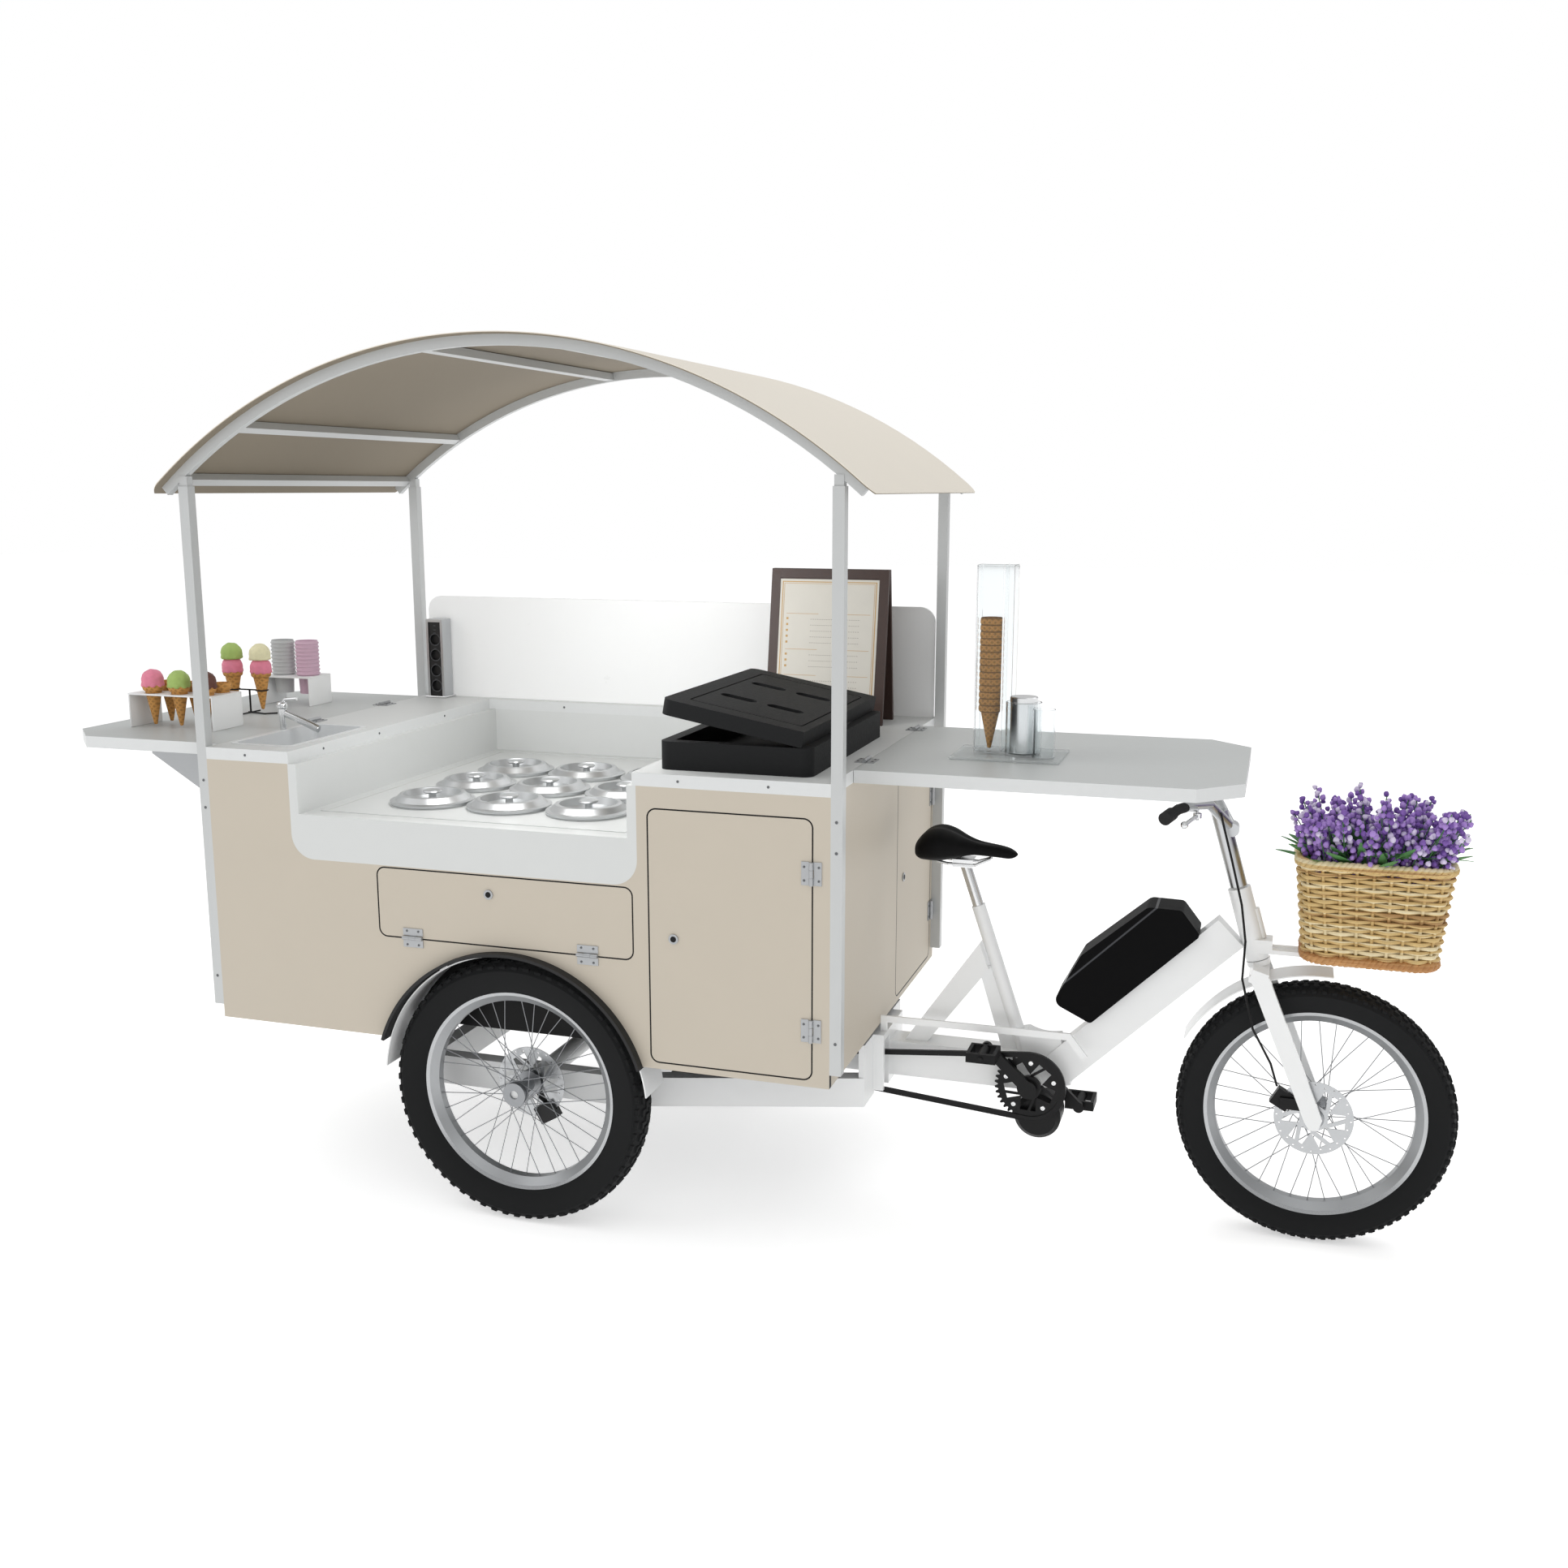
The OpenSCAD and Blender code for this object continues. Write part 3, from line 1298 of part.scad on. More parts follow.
module bent_stand(x0, x1, y0, y1, h, t, holes, hole_r) {
  difference() {
    union() {
      box([x0, y0, goods_z], [x0 + t, y1, goods_z + h]);
      box([x1 - t, y0, goods_z], [x1, y1, goods_z + h]);
      box([x0, y0, goods_z + h - t], [x1, y1, goods_z + h]);
    }
    for (p = holes) translate([p[0], p[1], goods_z + 1]) cylinder(h = 500, r = hole_r);
  }
}

cone_h = 100;
cone_r = 24;
stand_h = 86;
cone_places = [for (i = [0 : 2], j = [0 : 1]) [-1479 + i * 78, -276 + j * 60]];
twin_x = [-1451, -1363];
cup_places = [[-1440, 208], [-1362, 208]];
module display_goods() translate([body_rear + 1156, 0, 0]) {
  cone_tip = goods_z + 6;
  sink_in = 4.2;
  hole_r = 4 + (cone_r - 4) * (stand_h - sink_in) / cone_h + run_gap;
  color(white_paint) {
    bent_stand(-1535, -1285, -303, -188, stand_h, 4, cone_places, hole_r);
    bent_stand(-1477, -1325, 156, 259, 80, 4, cup_places, 27);
  }
  color(black) {
    box([-1412, -4, goods_z - 0.2], [-1310, 4, goods_z + 4]);
    box([-1406, -43, goods_z - 0.2], [-1398, 43, goods_z + 3.5]);
    rod([-1402, 0, goods_z + 1], [-1402, 0, goods_z + 64], 2.5);
    difference() {
      box([twin_x[0] - 22, -24, goods_z + 62], [twin_x[1] + 22, 24, goods_z + 65]);
      for (x = twin_x) translate([x, 0, goods_z]) cylinder(h = 200, r = 14.7);
    }
  }
  color(wafer) {
    for (p = cone_places) translate([p[0], p[1], cone_tip])
      scoop_cone(cone_h, cone_r, p[1] < -250 ? 1 : 0);
    for (x = twin_x) translate([x, 0, goods_z + 12]) scoop_cone(cone_h, cone_r, 2);
  }
  color([0.75, 0.72, 0.74]) for (p = cup_places) translate([p[0], p[1], goods_z + 30])
    rotate_extrude($fn = 48) polygon([[0, 0], [24, 0], [26.5, 49], [33, 52], [33, 150], [0, 150]]);
}

// Clear dispenser on the front flap: base plate, tall tube with its cones, low tube and canister
module cone_dispenser() translate([body_front - 354, 0, 0]) {
  tube = [560, -62];
  side = 62;
  wall = 3;
  tall = 418;
  low_at = [672, -60];
  base_t = 6;
  z0 = goods_z + base_t;
  color([0.85, 0.90, 0.92]) {
    box([520, -140, goods_z], [763, 40, z0]);
    translate([tube[0], tube[1], z0]) difference() {
      cube([side + 22, side, tall]);
      translate([wall, wall, wall]) cube([side - 2 * wall, side - 2 * wall, tall]);
      translate([side, wall, wall]) cube([22 - wall, side - 2 * wall, tall]);
    }
    translate([low_at[0], low_at[1], z0]) difference() {
      cylinder(h = 118, r = 40);
      translate([0, 0, 4]) cylinder(h = 118, r = 37);
    }
  }
  color(wafer) translate([tube[0] + side / 2, tube[1] + side / 2, z0 + wall + run_gap])
    rotate_extrude($fn = 48) polygon([[0, 0], [3, 0], [22, 96], [26, 100], [26, 300], [0, 300]]);
  color(steel) translate([low_at[0], low_at[1], z0 + 4 + run_gap]) cylinder(h = 126, r = 30);
}

chassis();
floor_tray();
right_panel();
left_panel();
end_panels();
mudguards();
post_sleeves();
counter_top();
well_liner();
tub_rack();
sink_bowl();
back_splash();
socket_tower();
menu_board();
case_base();
hinge_leaves();
bike_frame();
motor();
chain();
basket();
flowers();
inner_equipment();
canopy_sheet();
canopy_frame();
front_flap();
rear_flap();
drop_door();
tall_door();
front_door();
for (i = [1 : 9]) at_tub(i) tub_lid();
tap();
case_lid();
rear_wheel(-1);  // rear_wheel_right
rear_wheel(1);  // rear_wheel_left
front_wheel();
at_rear(-1) tyre(rear_r);  // rear_tyre_right
at_rear(1) tyre(rear_r);  // rear_tyre_left
at_front() tyre(front_r);  // front_tyre
fork();
handlebar();
front_brake();
crank_set();
pedal(-1);  // pedal_right
pedal(1);  // pedal_left
saddle();
seatpost();
battery();
brake_lever(-1);  // brake_lever_right
brake_lever(1);  // brake_lever_left
sprocket();
display_goods();
cone_dispenser();
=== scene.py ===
import math
import random

import bmesh
import bpy
from mathutils import Matrix, Vector


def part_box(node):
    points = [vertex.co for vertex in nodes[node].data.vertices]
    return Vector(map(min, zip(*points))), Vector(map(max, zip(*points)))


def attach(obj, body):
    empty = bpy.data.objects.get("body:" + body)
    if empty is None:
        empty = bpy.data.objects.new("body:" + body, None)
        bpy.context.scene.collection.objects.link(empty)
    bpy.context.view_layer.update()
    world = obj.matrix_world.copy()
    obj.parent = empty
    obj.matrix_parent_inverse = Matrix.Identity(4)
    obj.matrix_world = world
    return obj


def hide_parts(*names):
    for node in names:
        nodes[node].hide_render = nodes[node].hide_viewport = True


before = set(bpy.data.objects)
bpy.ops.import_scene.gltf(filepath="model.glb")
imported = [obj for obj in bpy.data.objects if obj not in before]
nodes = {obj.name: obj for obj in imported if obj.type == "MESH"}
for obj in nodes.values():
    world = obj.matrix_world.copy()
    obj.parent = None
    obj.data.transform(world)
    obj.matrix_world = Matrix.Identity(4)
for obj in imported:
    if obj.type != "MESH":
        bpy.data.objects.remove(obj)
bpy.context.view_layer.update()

# Places that several pieces and finishes share, in metres; a hub is an (x, z) place
SIDE_FACE = -0.500
FRONT_FACE = 0.354
BOARD_TOP = 1.074
REAR_HUB = (-0.392, 0.311)
FRONT_HUB = (1.335, 0.299)
RIGHT, AHEAD, UP = (0, -1, 0), (1, 0, 0), (0, 0, 1)


# Selecting, editing and finishing pieces

def deselect():
    bpy.ops.object.select_all(action="DESELECT")


def wake(piece):
    deselect()
    piece.select_set(True)
    bpy.context.view_layer.objects.active = piece


def settle(piece):
    wake(piece)
    bpy.ops.object.transform_apply(location=True, rotation=True, scale=True)
    return piece


def apply_modifier(piece, kind, **settings):
    modifier = piece.modifiers.new(kind.lower(), kind)
    for key, value in settings.items():
        setattr(modifier, key, value)
    wake(piece)
    bpy.ops.object.modifier_apply(modifier=modifier.name)
    return piece


def soften(piece, width, segments=2):
    return apply_modifier(piece, "BEVEL", width=width, segments=segments, limit_method="ANGLE")


def cut(piece, cutter):
    apply_modifier(piece, "BOOLEAN", operation="DIFFERENCE", object=cutter, solver="EXACT")
    bpy.data.objects.remove(cutter)


def outward(piece):
    """Weld doubled points and turn all faces outward."""
    wake(piece)
    bpy.ops.object.mode_set(mode="EDIT")
    bpy.ops.mesh.select_all(action="SELECT")
    bpy.ops.mesh.remove_doubles(threshold=0.00002)
    bpy.ops.mesh.normals_make_consistent(inside=False)
    bpy.ops.object.mode_set(mode="OBJECT")
    return piece


def join(pieces):
    deselect()
    for piece in pieces:
        piece.select_set(True)
    bpy.context.view_layer.objects.active = pieces[0]
    if len(pieces) > 1:
        bpy.ops.object.join()
    return bpy.context.view_layer.objects.active


def repeat(piece, places):
    """One piece made of copies of this one, one at each place."""
    work = bmesh.new()
    for place in places:
        twin = piece.data.copy()
        twin.transform(place)
        work.from_mesh(twin)
        bpy.data.meshes.remove(twin)
    mesh = bpy.data.meshes.new(piece.name)
    work.to_mesh(mesh)
    work.free()
    whole = bpy.data.objects.new(piece.name, mesh)
    bpy.context.scene.collection.objects.link(whole)
    bpy.data.objects.remove(piece)
    return whole


def show(piece, name, finish, body, stands_for=(), angle=35):
    """Name and finish a piece, and tell the frame which body it rides on and which nodes it stands for."""
    settle(piece)
    piece.name = name
    piece.data.name = name
    piece.data.materials.clear()
    piece.data.materials.append(finish)
    for face in piece.data.polygons:
        face.material_index = 0
    wake(piece)
    bpy.ops.object.shade_smooth_by_angle(angle=math.radians(angle))
    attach(piece, body)
    if stands_for:
        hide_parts(*stands_for)
    return piece


# Shapes that are made more than once

AXIS_R = 0.0005
SCREW_AXIS_R = 0.0003
ALONG_Y = Matrix.Rotation(-math.pi / 2, 4, "X")


def block(low, high, edge=0.0015, segments=2):
    low, high = Vector(low), Vector(high)
    deselect()
    bpy.ops.mesh.primitive_cube_add(size=1, location=(low + high) / 2)
    piece = bpy.context.active_object
    piece.scale = high - low
    settle(piece)
    return soften(piece, edge, segments) if edge else piece


def lathe(profile, steps=32, at=(0, 0, 0), tilt=None):
    """A profile of (radius, height) points, drawn by extruding a vertex and spun round its own Z axis."""
    deselect()
    bpy.ops.mesh.primitive_plane_add(size=0.01)
    piece = bpy.context.active_object
    bpy.ops.object.mode_set(mode="EDIT")
    bpy.ops.mesh.select_all(action="SELECT")
    bpy.ops.mesh.merge(type="CENTER")
    here = Vector((profile[0][0], 0, profile[0][1]))
    bpy.ops.transform.translate(value=here)
    for radius, height in profile[1:]:
        there = Vector((radius, 0, height))
        bpy.ops.mesh.extrude_region_move(TRANSFORM_OT_translate={"value": there - here})
        here = there
    bpy.ops.mesh.select_all(action="SELECT")
    bpy.ops.mesh.spin(steps=steps, angle=2 * math.pi, center=(0, 0, 0), axis=(0, 0, 1))
    bpy.ops.object.mode_set(mode="OBJECT")
    outward(piece)
    turn = tilt if tilt is not None else Matrix.Identity(4)
    piece.data.transform(Matrix.Translation(at) @ turn)
    return piece


def wire(points, radius, closed=False, sides=2):
    """A round wire along the points, made from a curve."""
    curve = bpy.data.curves.new("wire", "CURVE")
    curve.dimensions = "3D"
    curve.bevel_depth = radius
    curve.bevel_resolution = sides
    curve.use_fill_caps = True
    spline = curve.splines.new("POLY")
    spline.points.add(len(points) - 1)
    for point, place in zip(spline.points, points):
        point.co = (*place, 1)
    spline.use_cyclic_u = closed
    piece = bpy.data.objects.new("wire", curve)
    bpy.context.scene.collection.objects.link(piece)
    wake(piece)
    bpy.ops.object.convert(target="MESH")
    return bpy.context.active_object


def ball(centre, radius, fine=3):
    deselect()
    bpy.ops.mesh.primitive_ico_sphere_add(subdivisions=fine, radius=radius, location=centre)
    return settle(bpy.context.active_object)


def facing(way):
    """The turn that points a lathed piece's axis this way."""
    return Vector(way).to_track_quat("Z", "Y").to_matrix().to_4x4()


# Finishes

def noise_group(name, scale, detail, stretch=None):
    """A node group that puts out noise at a vector and scale, drawn out into lines where stretched."""
    group = bpy.data.node_groups.new(name, "ShaderNodeTree")
    group.interface.new_socket("Vector", in_out="INPUT", socket_type="NodeSocketVector")
    group.interface.new_socket("Scale", in_out="INPUT", socket_type="NodeSocketFloat").default_value = scale
    group.interface.new_socket("Value", in_out="OUTPUT", socket_type="NodeSocketFloat")
    entry = group.nodes.new("NodeGroupInput")
    end = group.nodes.new("NodeGroupOutput")
    noise = group.nodes.new("ShaderNodeTexNoise")
    noise.inputs["Detail"].default_value = detail
    vector = entry.outputs["Vector"]
    if stretch:
        mapping = group.nodes.new("ShaderNodeMapping")
        mapping.inputs["Scale"].default_value = stretch
        group.links.new(vector, mapping.inputs["Vector"])
        vector = mapping.outputs["Vector"]
    group.links.new(vector, noise.inputs["Vector"])
    group.links.new(entry.outputs["Scale"], noise.inputs["Scale"])
    group.links.new(noise.outputs["Fac"], end.inputs["Value"])
    return group


GRAIN = noise_group("grain", 40.0, 4)
BRUSH = noise_group("brushed_lines", 30.0, 3, (1, 40, 40))


class Finish:
    """A material with one base tone, and patches of other tones where masks on Object coordinates say so."""

    def __init__(self, name):
        self.material = bpy.data.materials.new(name)
        self.material.use_nodes = True
        self.tree = self.material.node_tree
        self.shader = self.tree.nodes["Principled BSDF"]
        self.coords = self.tree.nodes.new("ShaderNodeTexCoord").outputs["Object"]
        split = self.tree.nodes.new("ShaderNodeSeparateXYZ")
        self.link(self.coords, split.inputs[0])
        self.x, self.y, self.z = split.outputs

    def link(self, source, socket):
        self.tree.links.new(source, socket)

    def fill(self, socket, value):
        if isinstance(value, bpy.types.NodeSocket):
            self.link(value, socket)
        else:
            socket.default_value = value

    def math(self, operation, a, b=0.0):
        node = self.tree.nodes.new("ShaderNodeMath")
        node.operation = operation
        self.fill(node.inputs[0], a)
        self.fill(node.inputs[1], b)
        return node.outputs[0]

    def above(self, socket, value):
        return self.math("GREATER_THAN", socket, value)

    def below(self, socket, value):
        return self.math("LESS_THAN", socket, value)

    def both(self, first, *masks):
        for mask in masks:
            first = self.math("MULTIPLY", first, mask)
        return first

    def band(self, socket, low, high):
        return self.both(self.above(socket, low), self.below(socket, high))

    def from_axis(self, place):
        """Distance from the line along Y through this (x, z) place."""
        dx = self.math("SUBTRACT", self.x, place[0])
        dz = self.math("SUBTRACT", self.z, place[1])
        squares = self.math("ADD", self.math("MULTIPLY", dx, dx), self.math("MULTIPLY", dz, dz))
        return self.math("SQRT", squares)

    def from_middle(self):
        return self.math("ABSOLUTE", self.y)

    def new_node(self, kind, vector, values):
        node = self.tree.nodes.new(kind)
        for label, value in values.items():
            node.inputs[label].default_value = value
        self.link(vector, node.inputs["Vector"])
        return node

    def texture(self, kind, vector=None, **values):
        return self.new_node("ShaderNodeTex" + kind, self.coords if vector is None else vector, values)

    def mapped(self, **values):
        return self.new_node("ShaderNodeMapping", self.coords, values).outputs["Vector"]

    def pattern(self, group, scale):
        node = self.tree.nodes.new("ShaderNodeGroup")
        node.node_tree = group
        node.inputs["Scale"].default_value = scale
        self.link(self.coords, node.inputs["Vector"])
        return node.outputs["Value"]

    def mix(self, mask, a, b):
        node = self.tree.nodes.new("ShaderNodeMix")
        node.data_type = "RGBA"
        self.link(mask, node.inputs["Factor"])
        for socket, value in zip((node.inputs[6], node.inputs[7]), (a, b)):
            self.fill(socket, (*value, 1) if isinstance(value, tuple) else value)
        return node.outputs[2]

    def blend(self, mask, a, b):
        node = self.tree.nodes.new("ShaderNodeMix")
        self.link(mask, node.inputs["Factor"])
        self.fill(node.inputs[2], a)
        self.fill(node.inputs[3], b)
        return node.outputs[0]

    def speckle(self, color, amount, value):
        dark = tuple(c * (1 - amount) for c in color)
        light = tuple(min(1, c * (1 + amount)) for c in color)
        return self.mix(value, dark, light)

    def bump(self, value, strength, distance):
        node = self.tree.nodes.new("ShaderNodeBump")
        node.inputs["Strength"].default_value = strength
        node.inputs["Distance"].default_value = distance
        self.link(value, node.inputs["Height"])
        self.link(node.outputs["Normal"], self.shader.inputs["Normal"])

    def dress(self, color, rough, metal=0.0, tint=0.04, grain=25.0, group=None, bump=0.08, fine=400.0,
              patches=(), coat=0.0, specular=0.5):
        """Link the whole look; each patch is a mask with its own colour, roughness and metallic value."""
        value = self.pattern(group or GRAIN, grain)
        tone = self.speckle(color, tint, value)
        gloss = self.blend(value, max(0.02, rough - 0.06), min(1, rough + 0.06))
        shine = metal
        for mask, other, other_rough, other_metal in patches:
            tone = self.mix(mask, tone, self.speckle(other, tint, value))
            gloss = self.blend(mask, gloss, other_rough)
            if other_metal != metal or not isinstance(shine, float):
                shine = self.blend(mask, shine, other_metal)
        self.link(tone, self.shader.inputs["Base Color"])
        self.link(gloss, self.shader.inputs["Roughness"])
        self.fill(self.shader.inputs["Metallic"], shine)
        self.shader.inputs["Coat Weight"].default_value = coat
        self.shader.inputs["Specular IOR Level"].default_value = specular
        if bump:
            self.bump(self.pattern(GRAIN, fine), bump, 0.0004)
        return self.material


def tone(r, g, b):
    """A colour read in screen values, as linear light."""
    return tuple(((c / 255) / 12.92) if c <= 10 else ((c / 255 + 0.055) / 1.055) ** 2.4 for c in (r, g, b))


def brushed(name, color, rough, metal, tint, grain):
    return Finish(name).dress(color, rough, metal, tint, grain, BRUSH, bump=0.02, fine=900)


WHITE = tone(238, 239, 239)
BEIGE = tone(196, 187, 172)
COUNTER = tone(206, 208, 207)
FLAP = tone(190, 193, 192)
EDGE = tone(217, 219, 219)
STEEL = tone(216, 218, 219)
HINGE = tone(172, 174, 176)
CHROME = tone(196, 198, 200)
BLACK = tone(16, 16, 17)
DEEP_BLACK = tone(10, 10, 11)
WAFER = tone(204, 148, 78)

white_paint = Finish("white_paint").dress(WHITE, 0.32, tint=0.015, bump=0.03, fine=900, coat=0.3)
white_plastic = Finish("white_plastic").dress(WHITE, 0.38, tint=0.01, bump=0.04, fine=700)
liner_white = Finish("liner_white").dress(tone(211, 213, 212), 0.4, tint=0.012, bump=0.04, fine=700)
board_white = Finish("board_white").dress(tone(249, 250, 250), 0.3, tint=0.006, bump=0.02, fine=700)
beige_panel = Finish("beige_panel").dress(BEIGE, 0.55, tint=0.02, grain=8, bump=0.06, fine=1500)
stainless = brushed("stainless", STEEL, 0.30, 0.7, 0.06, 30)
sink_steel = brushed("sink_steel", tone(226, 228, 229), 0.36, 0.3, 0.05, 30)
hinge_steel = brushed("hinge_steel", HINGE, 0.36, 0.7, 0.06, 40)
screw_steel = Finish("screw_steel").dress(tone(112, 114, 116), 0.4, 0.6, tint=0.1, bump=0.03)
lid_steel = Finish("lid_steel").dress(tone(196, 198, 199), 0.36, 0.85, tint=0.04, grain=20, bump=0.015)
polished_lid = Finish("polished_lid").dress(tone(222, 223, 224), 0.20, 1.0, tint=0.04, grain=20, bump=0.015)
grey_tube = Finish("grey_tube").dress(tone(196, 198, 198), 0.42, 0.25, tint=0.02, bump=0.03)
black_plastic = Finish("black_plastic").dress(BLACK, 0.5, tint=0.15, bump=0.12, fine=1400, specular=0.2)
black_metal = Finish("black_metal").dress(BLACK, 0.42, 0.1, tint=0.1, bump=0.04, specular=0.25)
rubber = Finish("rubber").dress(tone(22, 23, 24), 0.75, tint=0.18, grain=60, bump=0.2, fine=900, specular=0.2)
socket_grey = Finish("socket_grey").dress(tone(58, 59, 62), 0.45, tint=0.1, bump=0.05)
inner_plastic = Finish("inner_plastic").dress(tone(190, 194, 200), 0.5)


def pored_finish(name, color, rough, cells, strength, depth, **looks):
    """A dark skin with cells pressed into it: the beads of foam or the pores of leather."""
    finish = Finish(name)
    pores = finish.texture("Voronoi", Scale=cells)
    finish.dress(color, rough, bump=0, **looks)
    finish.bump(pores.outputs["Distance"], strength, depth)
    return finish.material


def canopy_finish():
    """Pale skin with painted shade on its under side, which lies nearer to the arc's axis."""
    axis = (-0.401, 0.7245)
    under_r = 1.2545
    finish = Finish("canopy_skin")
    # Painted shade: the under side of the sheet is given a darker tone
    under = finish.below(finish.from_axis(axis), under_r)
    return finish.dress(tone(228, 221, 208), 0.6, tint=0.02, grain=6, bump=0.1, fine=700,
                        patches=[(under, tone(134, 124, 108), 0.75, 0.0)])


def mudguard_finish():
    lip_r = 0.3305
    finish = Finish("mudguards")
    lip = finish.above(finish.from_axis(REAR_HUB), lip_r)
    return finish.dress(WHITE, 0.35, tint=0.015, patches=[(lip, BLACK, 0.6, 0.0)])


PANEL = 0.015
SKIN = 0.0006
PROUD = 0.00015


def panel_finish(name, side):
    """Beige board with its edge faces painted black as shade in the gaps round the doors; what stands proud
    of it, hinge leaf or lock, is steel.
    """
    finish = Finish(name)
    # Painted shade: the board's edge faces, seen in the gaps round the doors, are black
    if side == "right":
        edge = finish.band(finish.y, SIDE_FACE + SKIN, SIDE_FACE + PANEL - SKIN)
        proud = finish.below(finish.y, SIDE_FACE - PROUD)
    else:
        edge = finish.band(finish.x, FRONT_FACE - PANEL + SKIN, FRONT_FACE - SKIN)
        proud = finish.above(finish.x, FRONT_FACE + PROUD)
    return finish.dress(BEIGE, 0.55, tint=0.02, grain=8, bump=0.06, fine=1500,
                        patches=[(edge, BLACK, 0.7, 0.0), (proud, HINGE, 0.36, 0.7)])


def board_finish(name, color):
    """A board with pale edges, its top in its own tone and the hinge leaves on it in steel."""
    finish = Finish(name)
    top = finish.above(finish.z, BOARD_TOP - 0.0003)
    proud = finish.above(finish.z, BOARD_TOP + PROUD)
    return finish.dress(EDGE, 0.42, tint=0.02, grain=60, bump=0.05, fine=1200,
                        patches=[(top, color, 0.42, 0.0), (proud, HINGE, 0.36, 0.7)])


def tub_finish():
    """White plate with steel tubs under it and their steel beads over it."""
    bead, gauge, level = 0.00205, 0.0085, 0.0016
    finish = Finish("tub_plate")
    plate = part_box("tub_rack")[1].z - bead
    tubs = finish.below(finish.z, plate - gauge)
    beads = finish.above(finish.z, plate + level)
    steel = finish.math("MAXIMUM", tubs, beads)
    return finish.dress(tone(204, 206, 205), 0.36, tint=0.01, bump=0.03, fine=900,
                        patches=[(steel, STEEL, 0.25, 0.9)])


def chassis_finish():
    """White rails with black brake calipers at their ends, round the bare axle."""
    caliper_y = 0.3925
    axle_r = 0.03
    finish = Finish("chassis_paint")
    far_out = finish.above(finish.from_middle(), caliper_y)
    off_axle = finish.above(finish.from_axis(REAR_HUB), axle_r)
    return finish.dress(WHITE, 0.36, tint=0.02, patches=[(finish.both(far_out, off_axle), BLACK, 0.45, 0.2)])


def bar_finish():
    grip_y = 0.176
    finish = Finish("handlebar")
    grip = finish.above(finish.from_middle(), grip_y)
    return finish.dress(CHROME, 0.3, 1.0, tint=0.04, patches=[(grip, BLACK, 0.75, 0.0)])


def wheel_finish(name, hub, disc_low, disc_high):
    """Hub and spokes in one tone; rim, rim lip and brake disc each in their own."""
    hub_r, disc_r, rim_r, lip_r = 0.0225, 0.088, 0.2105, 0.2285
    finish = Finish(name)
    radius = finish.from_axis(hub)
    disc = finish.both(finish.band(radius, hub_r, disc_r),
                       finish.band(finish.from_middle(), disc_low, disc_high))
    return finish.dress(tone(150, 152, 155), 0.35, 1.0, tint=0.05, patches=[
        (finish.band(radius, rim_r, lip_r), tone(164, 166, 168), 0.38, 1.0),
        (finish.above(radius, lip_r), tone(180, 182, 184), 0.25, 1.0),
        (disc, tone(186, 188, 190), 0.3, 1.0)])


def tower_finish():
    """Polished case with a black socket plate, which lies inside these ranges."""
    plate_x, plate_y, plate_z = (-1.1112, -1.0728), (0.4302, 0.446), (1.0795, 1.2905)
    finish = Finish("socket_tower")
    face = finish.both(finish.band(finish.x, *plate_x), finish.band(finish.y, *plate_y),
                       finish.band(finish.z, *plate_z))
    return finish.dress(CHROME, 0.3, 1.0, tint=0.03, patches=[(face, BLACK, 0.4, 0.0)])


def battery_finish():
    """Black case with a grey seam, measured across the tube that it lies on."""
    across_x, across_z = -0.699, 0.715
    seam = (-0.150, -0.146)
    finish = Finish("battery_case")
    across = finish.math("ADD", finish.math("MULTIPLY", finish.x, across_x),
                         finish.math("MULTIPLY", finish.z, across_z))
    return finish.dress(DEEP_BLACK, 0.5, tint=0.1, bump=0.1, fine=1600, specular=0.06,
                        patches=[(finish.band(across, *seam), tone(70, 71, 74), 0.3, 0.4)])


def menu_finish():
    finish = Finish("menu_wood")
    rings = finish.texture("Wave", Scale=9, Distortion=6, Detail=3)
    finish.dress(tone(62, 43, 37), 0.5, tint=0.2, grain=90, bump=0)
    finish.bump(rings.outputs["Fac"], 0.12, 0.0006)
    return finish.material


def clear_finish():
    finish = Finish("clear_plastic")
    shader = finish.shader
    shader.inputs["Base Color"].default_value = (0.96, 0.98, 0.985, 1)
    shader.inputs["Transmission Weight"].default_value = 1.0
    shader.inputs["IOR"].default_value = 1.3
    finish.link(finish.blend(finish.pattern(GRAIN, 30), 0.02, 0.07), shader.inputs["Roughness"])
    return finish.material


def waffle_finish(name, foot=0.0, pitch=0.0):
    """Toasted wafer with a pressed grid; a stack also gets a band of painted shade under each rim, one pitch
    apart, where one cone sits in the next.
    """
    slant = 0.8
    finish = Finish(name)
    waves = []
    for turn in (slant, -slant):
        wave = finish.texture("Wave", finish.mapped(Rotation=(0, turn, 0)), Scale=36)
        wave.bands_direction = "Z"
        waves.append(wave.outputs["Fac"])
    grid = finish.math("MAXIMUM", *waves)
    value = finish.pattern(GRAIN, 90)
    toasted = finish.mix(grid, tuple(c * 0.55 for c in WAFER), finish.speckle(WAFER, 0.2, value))
    if pitch:
        # Painted shade: a dark band just under each rim of a stack, where the cones nest
        share = finish.math("FRACT", finish.math("DIVIDE", finish.math("SUBTRACT", finish.z, foot), pitch))
        groove = finish.both(finish.below(share, 0.2), finish.above(finish.z, foot - 0.002))
        toasted = finish.mix(groove, toasted, tuple(c * 0.4 for c in WAFER))
    finish.link(toasted, finish.shader.inputs["Base Color"])
    finish.shader.inputs["Roughness"].default_value = 0.75
    finish.bump(grid, 0.5, 0.0012)
    return finish.material


def ice_finish(name, color):
    return Finish(name).dress(color, 0.55, tint=0.12, grain=110, bump=0.7, fine=260)


